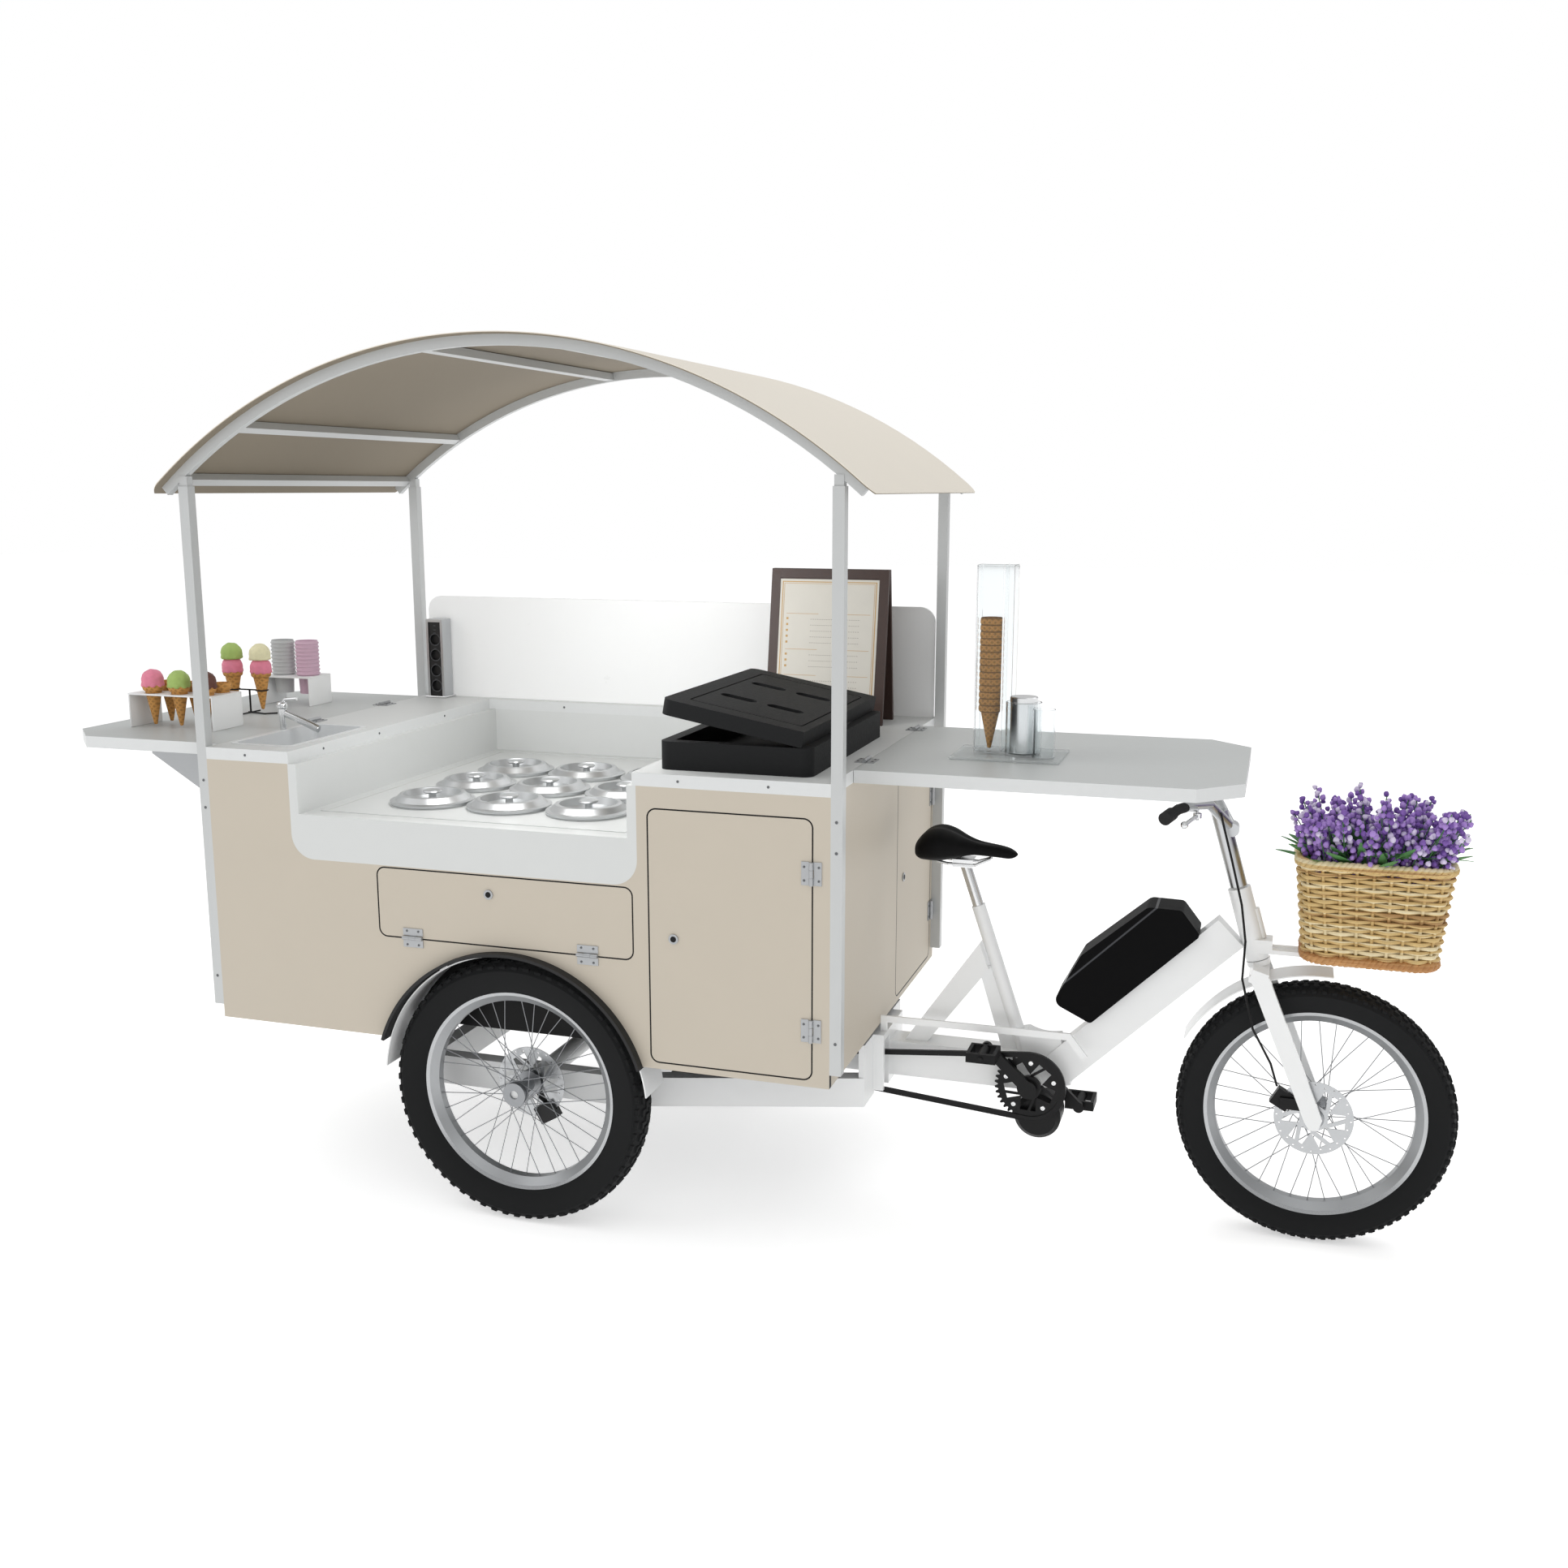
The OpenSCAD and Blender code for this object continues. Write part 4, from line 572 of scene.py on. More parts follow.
def wicker_finish(name, color, light, dark):
    finish = Finish(name)
    rows = finish.texture("Noise", finish.mapped(Scale=(1.5, 1.5, 95)), Scale=1.0, Detail=1.0).outputs["Fac"]
    pale = finish.above(rows, 0.56)
    brown = finish.below(rows, 0.40)
    return finish.dress(color, 0.6, tint=0.22, grain=70, bump=0.4, fine=500,
                        patches=[(pale, light, 0.5, 0.0), (brown, dark, 0.6, 0.0)])


def petal_finish(name, color):
    return Finish(name).dress(color, 0.7, tint=0.3, grain=120, bump=0.4, fine=700)


PLAIN_NODES = {
    white_paint: ["bike_frame", "fork"],
    liner_white: ["well_liner"],
    board_white: ["back_splash"],
    beige_panel: ["left_panel"],
    stainless: ["sprocket"],
    hinge_steel: ["hinge_leaves"],
    sink_steel: ["sink_bowl"],
    lid_steel: [f"lid_{i}" for i in range(1, 10)],
    polished_lid: ["tap", "seatpost", "brake_lever_right", "brake_lever_left"],
    grey_tube: ["post_sleeves", "canopy_frame"],
    black_plastic: ["floor_tray", "pedal_right", "pedal_left"],
    black_metal: ["motor", "chain", "crank_set", "front_brake"],
    inner_plastic: ["inner_equipment"],
}


def dress_node(finish, *names):
    for name in names:
        materials = nodes[name].data.materials
        materials.clear()
        materials.append(finish)


def dress_nodes():
    for finish, names in PLAIN_NODES.items():
        dress_node(finish, *names)
    foam = pored_finish("case_foam", tone(24, 25, 26), 0.65, 260, 0.25, 0.0012,
                        tint=0.12, grain=120, specular=0.2)
    dress_node(foam, "case_base", "case_lid")
    dress_node(canopy_finish(), "canopy_sheet")
    dress_node(mudguard_finish(), "mudguards")
    for name, side in (("right_panel", "right"), ("end_panels", "front"), ("drop_door", "right"),
                       ("tall_door", "right"), ("front_door", "front")):
        dress_node(panel_finish(name, side), name)
    dress_node(board_finish("counter_board", COUNTER), "counter_top")
    dress_node(tub_finish(), "tub_rack")
    dress_node(board_finish("flap_board", FLAP), "front_flap", "rear_flap")
    dress_node(chassis_finish(), "chassis")
    dress_node(bar_finish(), "handlebar")
    dress_node(wheel_finish("rear_wheels", REAR_HUB, 0.403, 0.4085), "rear_wheel_right", "rear_wheel_left")
    dress_node(wheel_finish("front_wheel", FRONT_HUB, 0.0445, 0.048), "front_wheel")
    dress_node(tower_finish(), "socket_tower")
    dress_node(battery_finish(), "battery")
    dress_node(menu_finish(), "menu_board")


# Camera, floor and light

CAMERA_PLACE = (1.2092, -3.4673, 1.6627)
CAMERA_DIP = 0.1894
CAMERA_TURN = 0.3110
SKY_LIGHT = 0.6
SKY_SEEN = 1.0
FLOOR_GLOW = 0.5
LAMP_AIM = Vector((-0.3, 0.2, 0.9))
# Each lamp's place, size and power; the last one lights the well under the canopy
LAMPS = (((1.5, -4.5, 5.0), 5.0, 45), ((-4.0, -2.0, 4.5), 4.0, 50), ((1.0, 3.0, 6.0), 6.0, 100),
         ((-0.4, -0.35, 1.55), 0.5, 5))


def place_camera():
    deselect()
    bpy.ops.object.camera_add(location=CAMERA_PLACE, rotation=(math.pi / 2 - CAMERA_DIP, 0, CAMERA_TURN))
    camera = bpy.context.active_object
    camera.data.lens = 35.57
    camera.data.sensor_width = 36
    camera.data.shift_x = -0.0004
    camera.data.shift_y = 0.0011
    bpy.context.scene.camera = camera


def studio():
    scene = bpy.context.scene
    scene.view_settings.view_transform = "Standard"
    scene.world = scene.world or bpy.data.worlds.new("studio")
    scene.world.use_nodes = True
    tree = scene.world.node_tree
    sky = tree.nodes["Background"]
    sky.inputs["Color"].default_value = (1, 1, 1, 1)
    rays = tree.nodes.new("ShaderNodeLightPath")
    level = tree.nodes.new("ShaderNodeMix")
    level.inputs[2].default_value = SKY_LIGHT
    level.inputs[3].default_value = SKY_SEEN
    tree.links.new(rays.outputs["Is Camera Ray"], level.inputs["Factor"])
    tree.links.new(level.outputs[0], sky.inputs["Strength"])
    deselect()
    bpy.ops.mesh.primitive_plane_add(size=60, location=(0, 0, -0.0005))
    floor = bpy.context.active_object
    floor.name = "studio_floor"
    paper = Finish("studio_paper")
    paper.dress((0.93, 0.93, 0.93), 0.9, tint=0.002, grain=2, bump=0)
    paper.shader.inputs["Emission Color"].default_value = (1, 1, 1, 1)
    paper.shader.inputs["Emission Strength"].default_value = FLOOR_GLOW
    floor.data.materials.append(paper.material)
    for place, size, power in LAMPS:
        deselect()
        bpy.ops.object.light_add(type="AREA", location=place)
        lamp = bpy.context.active_object
        lamp.data.size = size
        lamp.data.energy = power
        lamp.visible_camera = False
        lamp.rotation_euler = (LAMP_AIM - Vector(place)).to_track_quat("-Z", "Y").to_euler()


# Tyres: carcass with raised tread blocks

RIM_SEAT = 0.2363
SHOULDER = 0.042
TREAD_DEPTH = 0.0035
# Each row of blocks: place across, drop below the crown, width, share of the pitch, rise, offset in pitches
TREAD_ROWS = ((0.0, 0.0, 0.016, 0.62, 0.003, 0.0),
              (0.017, 0.00153, 0.012, 0.6, 0.0025, 0.5), (-0.017, 0.00153, 0.012, 0.6, 0.0025, 0.5),
              (-0.0345, 0.010, 0.011, 0.5, 0.0045, 0.25), (0.0345, 0.010, 0.011, 0.5, 0.0045, 0.25))


def tread_block(radius, across, width, length, rise):
    sunk = 0.003
    piece = block((-length / 2, across - width / 2, radius - sunk),
                  (length / 2, across + width / 2, radius + rise), 0)
    return soften(piece, 0.0012, 1)


def tyre(name, node, body, hub, y, knobs):
    """A tyre that stands on the floor, so its radius is its hub's height."""
    radius = hub[1]
    crown = radius - TREAD_DEPTH
    half = [(RIM_SEAT + 0.007, 0.016), (RIM_SEAT, 0.026), (RIM_SEAT + 0.010, 0.0325),
            (RIM_SEAT + 0.45 * (radius - RIM_SEAT), SHOULDER - 0.003), (crown - 0.018, SHOULDER - 0.0005),
            (crown - 0.008, SHOULDER - 0.006), (crown - 0.002, 0.020)]
    far = [(r, -w) for r, w in half]
    parts = [lathe(far[1:] + [(crown, 0.0)] + half[::-1] + far[:2], 96, tilt=ALONG_Y)]
    pitch = 2 * math.pi * crown / knobs
    for across, drop, width, share, rise, offset in TREAD_ROWS:
        base = tread_block(crown - drop, across, width, pitch * share, rise)
        turns = [2 * math.pi * (i + offset) / knobs for i in range(knobs)]
        parts.append(repeat(base, [Matrix.Rotation(turn, 4, "Y") for turn in turns]))
    piece = join(parts)
    piece.data.transform(Matrix.Translation((hub[0], y, hub[1])))
    show(piece, name, rubber, body, [node])


def tyres():
    rear_y = 0.448
    tyre("right_tyre", "rear_tyre_right", "right_wheel", REAR_HUB, -rear_y, 64)
    tyre("left_tyre", "rear_tyre_left", "left_wheel", REAR_HUB, rear_y, 64)
    tyre("steered_tyre", "front_tyre", "front_wheel_body", FRONT_HUB, 0, 84)


# Saddle: deep tail, waist and slim nose, as curves of (share of the length, height or half width)

SADDLE_TOP = ((0.0, 0.846), (0.06, 0.872), (0.14, 0.887), (0.25, 0.893), (0.38, 0.885), (0.5, 0.870),
              (0.62, 0.861), (0.85, 0.854), (0.95, 0.848), (1.0, 0.838))
SADDLE_LOW = ((0.0, 0.828), (0.05, 0.815), (0.25, 0.814), (0.4, 0.821), (0.55, 0.831), (0.8, 0.828),
              (0.95, 0.825), (1.0, 0.834))
SADDLE_HALF = ((0.0, 0.030), (0.05, 0.058), (0.15, 0.072), (0.25, 0.0745), (0.36, 0.066), (0.48, 0.045),
               (0.6, 0.030), (0.8, 0.0225), (0.94, 0.0185), (1.0, 0.006))


def follow(curve, s):
    """The value of a curve at share s, on straight lines between its points."""
    for (a, va), (b, vb) in zip(curve, curve[1:]):
        if s <= b:
            return va + (vb - va) * (s - a) / (b - a)
    return curve[-1][1]


def eased(curve, s):
    """The curve with its corners rounded, as the mean of five places near s."""
    return sum(follow(curve, min(1, max(0, s + d))) for d in (-0.04, -0.02, 0, 0.02, 0.04)) / 5


def saddle():
    groove_depth, groove_half = 0.005, 0.009
    low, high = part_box("saddle")
    length = high.x - low.x
    deselect()
    bpy.ops.mesh.primitive_uv_sphere_add(segments=40, ring_count=36, radius=1)
    piece = bpy.context.active_object
    piece.data.transform(Matrix.Rotation(math.pi / 2, 4, "Y"))
    for vertex in piece.data.vertices:
        u, v, w = vertex.co
        s = (u + 1) / 2
        ring = max((1 - u * u) ** 0.5, 1e-4) if abs(u) < 1 else 1e-4
        v /= ring
        w /= ring
        top = eased(SADDLE_TOP, s)
        foot = eased(SADDLE_LOW, s)
        half = eased(SADDLE_HALF, s)
        closed = min(1.0, ring * 3.2)
        bulge = math.copysign(abs(v) ** 0.75, v)
        crown = math.copysign(abs(w) ** 0.8, w)
        y = half * bulge * closed
        groove = 0
        if w > 0:
            groove = groove_depth * math.exp(-(y / groove_half) ** 2) * math.sin(math.pi * min(1.0, 1.25 * s))
        z = (top + foot) / 2 + (crown * (top - foot) / 2 - groove) * closed
        vertex.co = (low.x + length * s, y, z)
    apply_modifier(piece, "SUBSURF", levels=1, render_levels=1)
    leather = pored_finish("saddle_cover", DEEP_BLACK, 0.55, 700, 0.15, 0.0006,
                           tint=0.1, grain=60, specular=0.1)
    show(outward(piece), "saddle_pad", leather, "seat", ["saddle"], 60)


# Basket: woven strands between stakes, with twisted rims

BASKET_MID = (1.424, 0.0)
BASKET_LOW = 0.668
BASKET_HIGH = 0.890
BASKET_HALF = (0.131, 0.093)
BASKET_FLARE = (0.022, 0.015)
BASKET_CORNER = 0.045


def basket_round(t, height, out):
    """A point at share t of the way round the basket, at this height and this far out from its wall."""
    share = (height - BASKET_LOW) / (BASKET_HIGH - BASKET_LOW)
    core_x, core_y = (half + flare * share - BASKET_CORNER for half, flare in zip(BASKET_HALF, BASKET_FLARE))
    arc = BASKET_CORNER * math.pi / 2
    s = (t % 1.0) * 4 * (core_x + core_y + arc)
    reach = BASKET_CORNER + out
    for k, (x, y) in enumerate(((-core_x, -core_y), (core_x, -core_y), (core_x, core_y), (-core_x, core_y))):
        length = 2 * (core_y if k % 2 else core_x)
        if s <= length + arc or k == 3:
            angle = (k - 1) * math.pi / 2
            along = min(s, length)
            bend = angle + (s - along) / BASKET_CORNER
            return Vector((BASKET_MID[0] + x - along * math.sin(angle) + reach * math.cos(bend),
                           BASKET_MID[1] + y + along * math.cos(angle) + reach * math.sin(bend), height))
        s -= length + arc


def twisted_rim(height, thick, turns, spread, strands=3, steps=220):
    parts = []
    for k in range(strands):
        points = []
        for i in range(steps):
            t = i / steps
            phase = 2 * math.pi * (turns * t + k / strands)
            rise = Vector((0, 0, spread * math.sin(phase)))
            points.append(basket_round(t, height, spread * math.cos(phase)) + rise)
        parts.append(wire(points, thick, True, 1))
    return parts


def basket():
    stakes, rows = 28, 20
    points_per_stake = 8
    sway = 0.0048
    step = (BASKET_HIGH - BASKET_LOW - 0.026) / rows
    weave = []
    for row in range(rows):
        height = BASKET_LOW + 0.016 + (row + 0.5) * step
        shares = [i / (stakes * points_per_stake) for i in range(stakes * points_per_stake)]
        points = [basket_round(t, height, sway * math.cos(math.pi * (stakes * t + row))) for t in shares]
        weave.append(wire(points, step * 0.44, True, 1))
    for k in range(stakes):
        ends = [basket_round(k / stakes, height, 0) for height in (BASKET_LOW + 0.006, BASKET_HIGH - 0.008)]
        weave.append(wire(ends, 0.0036, False, 1))
    weave += twisted_rim(BASKET_HIGH - 0.006, 0.0062, 26, 0.0058)
    inner_x, inner_y = 0.124, 0.086
    weave.append(block((BASKET_MID[0] - inner_x, -inner_y, BASKET_LOW + 0.004),
                       (BASKET_MID[0] + inner_x, inner_y, BASKET_HIGH - 0.03), 0.03, 3))
    wicker = wicker_finish("wicker", tone(206, 176, 118), tone(228, 212, 172), tone(168, 130, 80))
    show(join(weave), "basket_weave", wicker, "cart", ["basket"], 60)
    foot = join(twisted_rim(BASKET_LOW + 0.008, 0.0064, 24, 0.0056))
    brown = wicker_finish("wicker_brown", tone(176, 124, 72), tone(192, 142, 88), tone(146, 96, 52))
    show(foot, "basket_foot", brown, "cart", (), 60)


# Lavender: sprays of small round buds on stems, with long leaves

SPRAYS = 104
LEAVES = 58
SPRAY_X = (1.236, 1.620)
BUD_X = (1.232, 1.628)
SPRAY_TOP = 1.046
# Half sizes of the beds that the sprays and the leaves grow from
SPRAY_BED = (0.115, 0.075)
LEAF_BED = (0.09, 0.06)


def spray(root, tip, dice):
    """Places and sizes of the buds of one spray, thick at its foot and thin at its tip."""
    buds = []
    way = (tip - root).normalized()
    side = way.orthogonal().normalized()
    other = way.cross(side)
    count = dice.randint(20, 30)
    for i in range(count):
        share = (i + dice.uniform(0, 0.8)) / count
        reach = 0.023 * (1 - share) ** 0.7 + 0.002
        angle = i * 2.4 + dice.uniform(-0.5, 0.5)
        out = side * math.cos(angle) + other * math.sin(angle)
        buds.append((root + (tip - root) * share + out * reach, dice.uniform(0.0060, 0.0088)))
    return buds


def bud_shape():
    bud = ball((0, 0, 0), 1.0, fine=1)
    apply_modifier(bud, "SUBSURF", levels=1, render_levels=1)
    for vertex in bud.data.vertices:
        vertex.co *= 1 + 0.12 * math.sin(3 * math.atan2(vertex.co.y, vertex.co.x))
    return bud


def leaf(root, way, length, width, droop, dice):
    deselect()
    bpy.ops.mesh.primitive_grid_add(x_subdivisions=2, y_subdivisions=8, size=1)
    blade = bpy.context.active_object
    for vertex in blade.data.vertices:
        along = vertex.co.y + 0.5
        half = width * math.sin(math.pi * min(0.985, along * 0.88 + 0.1)) ** 0.8
        fold = 0.25 * abs(vertex.co.x) * half
        vertex.co = (vertex.co.x * half * 2, fold - droop * along * along, along * length)
    turn = facing(Vector(way).normalized())
    blade.data.transform(Matrix.Translation(root) @ turn @ Matrix.Rotation(dice.uniform(-0.6, 0.6), 4, "Z"))
    return apply_modifier(blade, "SOLIDIFY", thickness=0.0008)


def flowers():
    dice = random.Random(7)
    colors = (("dark", (124, 88, 168)), ("middle", (168, 134, 206)), ("pale", (214, 203, 232)))
    tones = [petal_finish(f"lavender_{name}", tone(*color)) for name, color in colors]
    buds = [[], [], []]
    green = []
    for _ in range(SPRAYS):
        u = dice.uniform(-1, 1)
        v = dice.uniform(-1, 1)
        foot = Vector((BASKET_MID[0] + SPRAY_BED[0] * u, SPRAY_BED[1] * v,
                       BASKET_HIGH - dice.uniform(0.01, 0.045)))
        lean = Vector((0.55 * u + dice.uniform(-0.2, 0.2), 0.55 * v + dice.uniform(-0.25, 0.25), 1))
        tip = foot + lean.normalized() * dice.uniform(0.10, 0.165)
        tip.x = min(max(tip.x, SPRAY_X[0]), SPRAY_X[1])
        tip.z = min(tip.z, SPRAY_TOP)
        green.append(wire([foot - Vector((0, 0, 0.05)), foot, tip], 0.0012, False, 0))
        for place, size in spray(foot, tip, dice):
            group = dice.choices((0, 1, 2), (0.32, 0.48, 0.20))[0]
            place.x = min(max(place.x, BUD_X[0]), BUD_X[1])
            spin = Matrix.Rotation(dice.uniform(0, 3), 4, "X") @ Matrix.Rotation(dice.uniform(0, 3), 4, "Z")
            stretch = Matrix.Diagonal((size, size, size * 1.15, 1))
            buds[group].append(Matrix.Translation(place) @ spin @ stretch)
    for _ in range(LEAVES):
        u = dice.uniform(-1, 1)
        v = dice.uniform(-1, 1)
        root = Vector((BASKET_MID[0] + LEAF_BED[0] * u, LEAF_BED[1] * v, BASKET_HIGH - 0.035))
        way = (1.1 * u + dice.uniform(-0.3, 0.3), 0.9 * v + dice.uniform(-0.4, 0.4), 0.75)
        green.append(leaf(root, way, dice.uniform(0.10, 0.15), dice.uniform(0.009, 0.016), 0.02, dice))
    for x, length in ((1.395, 0.115), (1.505, 0.105)):
        root = Vector((x, -0.085, BASKET_HIGH + 0.018))
        green.append(leaf(root, (1, -0.12, 0.10), length, 0.008, 0.006, dice))
    for n, (name, _) in enumerate(colors):
        show(repeat(bud_shape(), buds[n]), f"lavender_buds_{name}", tones[n], "cart",
             ["flowers"] if n == 0 else (), 60)
    leaf_green = petal_finish("leaf_green", tone(74, 128, 70))
    show(join(green), "stems_and_leaves", leaf_green, "cart", (), 60)


# Goods on the rear flap

GOODS_Z = BOARD_TOP + 0.0005
REAR_FLAP = "rear_flap_body"
CONE_H = 0.100
CONE_R = 0.024
CONE_FOOT = 0.006
# Share of a cone's height at which its rim starts
CONE_RIM = 0.86
SCOOP_R = 0.027
SCOOP_STEP = 0.036
CONE_PLACES = [(-1.479 + 0.078 * i, -0.276 + 0.060 * j) for i in range(3) for j in range(2)]
TWIN_PLACES = [(-1.451, 0.0), (-1.363, 0.0)]
CUP_PLACES = [(-1.440, 0.208), (-1.362, 0.208)]


def bent_stand(low, high, height, holes, hole_r):
    gauge = 0.004
    sheet = block((*low, GOODS_Z + height - gauge), (*high, GOODS_Z + height), 0)
    for hole in holes:
        deselect()
        bpy.ops.mesh.primitive_cylinder_add(vertices=32, radius=hole_r, depth=0.1,
                                            location=(*hole, GOODS_Z + height))
        cut(sheet, settle(bpy.context.active_object))
    legs = [block((x, low[1], GOODS_Z), (x + gauge, high[1], GOODS_Z + height - gauge), 0.0008)
            for x in (low[0], high[0] - gauge)]
    return join([sheet] + legs)


def wafer_cone(place, height, radius):
    neck = radius * 0.84
    profile = [(AXIS_R, 0.0), (0.004, 0.001), (neck, height * CONE_RIM), (neck + 0.0022, height * 0.865),
               (radius + 0.0008, height * 0.895), (radius + 0.0016, height * 0.94), (radius + 0.0012, height),
               (radius - 0.0006, height + 0.004), (radius - 0.0022, height + 0.0036),
               (radius - 0.003, height - 0.004), (0.003, 0.010), (AXIS_R, 0.009)]
    return lathe(profile, 28, place)


def scoop(centre, seed):
    """A lumpy ball with a ragged skirt and a flat foot."""
    dice = random.Random(seed)
    piece = ball((0, 0, 0), SCOOP_R, fine=4)
    phases = [dice.uniform(0, 6.28) for _ in range(6)]
    for vertex in piece.data.vertices:
        way = vertex.co.normalized()
        lump = 0.035 * math.sin(7 * way.x + phases[0]) * math.sin(6 * way.y + phases[1])
        lump += 0.02 * math.sin(15 * way.z + phases[2]) * math.sin(13 * way.x + phases[3])
        ragged = 1 + 0.5 * math.sin(9 * math.atan2(way.y, way.x) + phases[4])
        skirt = 0.12 * math.exp(-((way.z + 0.45) / 0.16) ** 2) * ragged
        vertex.co = way * SCOOP_R * (1 + lump + skirt)
        vertex.co.z = max(vertex.co.z, -0.62 * SCOOP_R)
    piece.data.transform(Matrix.Translation(centre))
    return piece


def cones_and_scoops():
    wafer = waffle_finish("wafer")
    flavours = (("pink", (228, 132, 156)), ("green", (164, 190, 104)), ("cream_white", (232, 226, 186)),
                ("chocolate", (98, 58, 46)))
    pink, green, cream, brown = (ice_finish(f"ice_{name}", tone(*color)) for name, color in flavours)
    stand = bent_stand((-1.535, -0.303), (-1.285, -0.188), 0.086, CONE_PLACES, 0.0212)
    show(stand, "cone_stand", white_plastic, REAR_FLAP, ["display_goods"])
    stand = bent_stand((-1.477, 0.156), (-1.325, 0.259), 0.080, CUP_PLACES, 0.027)
    show(stand, "cup_stand", white_plastic, REAR_FLAP)
    cones = [wafer_cone((*place, GOODS_Z + CONE_FOOT), CONE_H, CONE_R) for place in CONE_PLACES]
    cones += [wafer_cone((*place, GOODS_Z + 2 * CONE_FOOT), CONE_H, CONE_R) for place in TWIN_PLACES]
    show(join(cones), "wafer_cones", wafer, REAR_FLAP, (), 50)
    top = GOODS_Z + CONE_FOOT + CONE_H + 0.012
    for k, finish in ((0, pink), (2, green), (4, brown)):
        show(scoop((*CONE_PLACES[k], top), k), f"scoop_{k}", finish, REAR_FLAP, (), 60)
    for n, pair in enumerate(((pink, green), (pink, cream))):
        for level, finish in enumerate(pair):
            piece = scoop((*TWIN_PLACES[n], top + CONE_FOOT + SCOOP_STEP * level), 20 + 2 * n + level)
            show(piece, f"double_scoop_{n}_{level}", finish, REAR_FLAP, (), 60)


def wire_stand():
    """A bent foot with a cross bar, a stem and an arm with a ring for each of two cones."""
    stem_x = -1.402
    foot = GOODS_Z + 0.0022
    arm = GOODS_Z + 0.063
    ring_r = 0.0155
    rail = [(-1.412, 0.004, foot), (-1.350, -0.012, foot), (-1.312, 0.020, foot)]
    prop = [(stem_x, -0.040, foot), (stem_x, 0.040, foot)]
    holder = [wire(rail, 0.002), wire(prop, 0.002),
              wire([(stem_x, 0, GOODS_Z + 0.002), (stem_x, 0, GOODS_Z + 0.064)], 0.0025),
              wire([(-1.437, 0, arm), (-1.377, 0, arm)], 0.002)]
    angles = [2 * math.pi * i / 28 for i in range(28)]
    for x, y in TWIN_PLACES:
        ring = [(x + ring_r * math.cos(a), y + ring_r * math.sin(a), arm) for a in angles]
        holder.append(wire(ring, 0.0018, True))
    show(join(holder), "wire_stand", black_metal, REAR_FLAP, (), 60)


def cup_stacks():
    """A stack of nine cups at each place: the lowest one whole, then the rims of all."""
    for n, color in enumerate((tone(188, 190, 190), tone(208, 176, 194))):
        profile = [(AXIS_R, 0.0), (0.024, 0.0), (0.0262, 0.046), (0.0262, 0.049)]
        for k in range(9):
            base = 0.052 + k * 0.0105
            profile += [(0.0302, base), (0.0325, base + 0.002), (0.0325, base + 0.0045),
                        (0.0302, base + 0.0060)]
        profile += [(0.0295, 0.146), (0.0250, 0.105), (AXIS_R, 0.104)]
        card = Finish(f"cup_card_{n}").dress(color, 0.55, tint=0.03, bump=0.05)
        stack = lathe(profile, 36, (*CUP_PLACES[n], GOODS_Z + 0.030))
        show(stack, f"cup_stack_{n}", card, REAR_FLAP)


# Cone dispenser on the front flap: a plate, a tube with two cells, a canister in its sleeve and a spoon cup

FRONT_FLAP = "front_flap_body"
PLATE_LOW, PLATE_HIGH = (0.520, -0.140), (0.763, 0.040)
PLATE_TOP = GOODS_Z + 0.006
TUBE_LOW, TUBE_HIGH = (0.560, -0.062), (0.644, 0.0)
TUBE_H = 0.418
TUBE_WALL = 0.003
TUBE_CELLS = ((0.563, 0.619), (0.622, 0.641))
CANISTER = (0.672, -0.060)
SPOON_CUP = (0.722, -0.092)
STACK = (0.591, -0.031)
STACK_COUNT = 14
STACK_PITCH = 0.015
STACK_CONE = (0.096, 0.0245)


def open_cup(place, inner, outer, height, floor, steps):
    profile = [(inner, floor), (inner, height), (outer, height), (outer, 0.0), (AXIS_R, 0.0), (AXIS_R, floor),
               (inner, floor)]
    return lathe(profile, steps, place)


def dispenser():
    clear = clear_finish()
    plate = block((*PLATE_LOW, GOODS_Z), (*PLATE_HIGH, PLATE_TOP), 0.002, 3)
    sheet = Finish("clear_sheet")
    sheet.dress(tone(214, 220, 220), 0.12, tint=0.02, grain=30, bump=0)
    sheet.shader.inputs["Alpha"].default_value = 0.35
    show(plate, "dispenser_plate", sheet.material, FRONT_FLAP, ["cone_dispenser"])
    tube = block((*TUBE_LOW, PLATE_TOP), (*TUBE_HIGH, PLATE_TOP + TUBE_H), 0)
    past_head = PLATE_TOP + 0.5
    for x0, x1 in TUBE_CELLS:
        cut(tube, block((x0, TUBE_LOW[1] + TUBE_WALL, PLATE_TOP + TUBE_WALL),
                        (x1, TUBE_HIGH[1] - TUBE_WALL, past_head), 0))
    show(soften(tube, 0.0006, 1), "dispenser_tube", clear, FRONT_FLAP)
    sleeve = open_cup((*CANISTER, PLATE_TOP), 0.037, 0.040, 0.118, 0.004, 48)
    show(sleeve, "canister_sleeve", clear, FRONT_FLAP)
    can = [(AXIS_R, 0.0), (0.029, 0.0), (0.030, 0.001), (0.030, 0.112), (0.031, 0.113), (0.031, 0.124),
           (0.029, 0.126), (AXIS_R, 0.126)]
    show(lathe(can, 48, (*CANISTER, PLATE_TOP + 0.0045)), "canister", polished_lid, FRONT_FLAP)
    spoon_cup = open_cup((*SPOON_CUP, PLATE_TOP), 0.0230, 0.0250, 0.108, 0.003, 40)
    show(spoon_cup, "spoon_cup", clear, FRONT_FLAP)
    foot = PLATE_TOP + CONE_FOOT
    stack = [wafer_cone((*STACK, foot + k * STACK_PITCH), *STACK_CONE) for k in range(STACK_COUNT)]
    # The stack's wafer carries painted shade under each rim
    toasted = waffle_finish("wafer_stack", foot + STACK_CONE[0] * CONE_RIM, STACK_PITCH)
    show(join(stack), "stacked_cones", toasted, FRONT_FLAP, (), 50)


# Menu sheet on the folding board, with ruled lines and dots

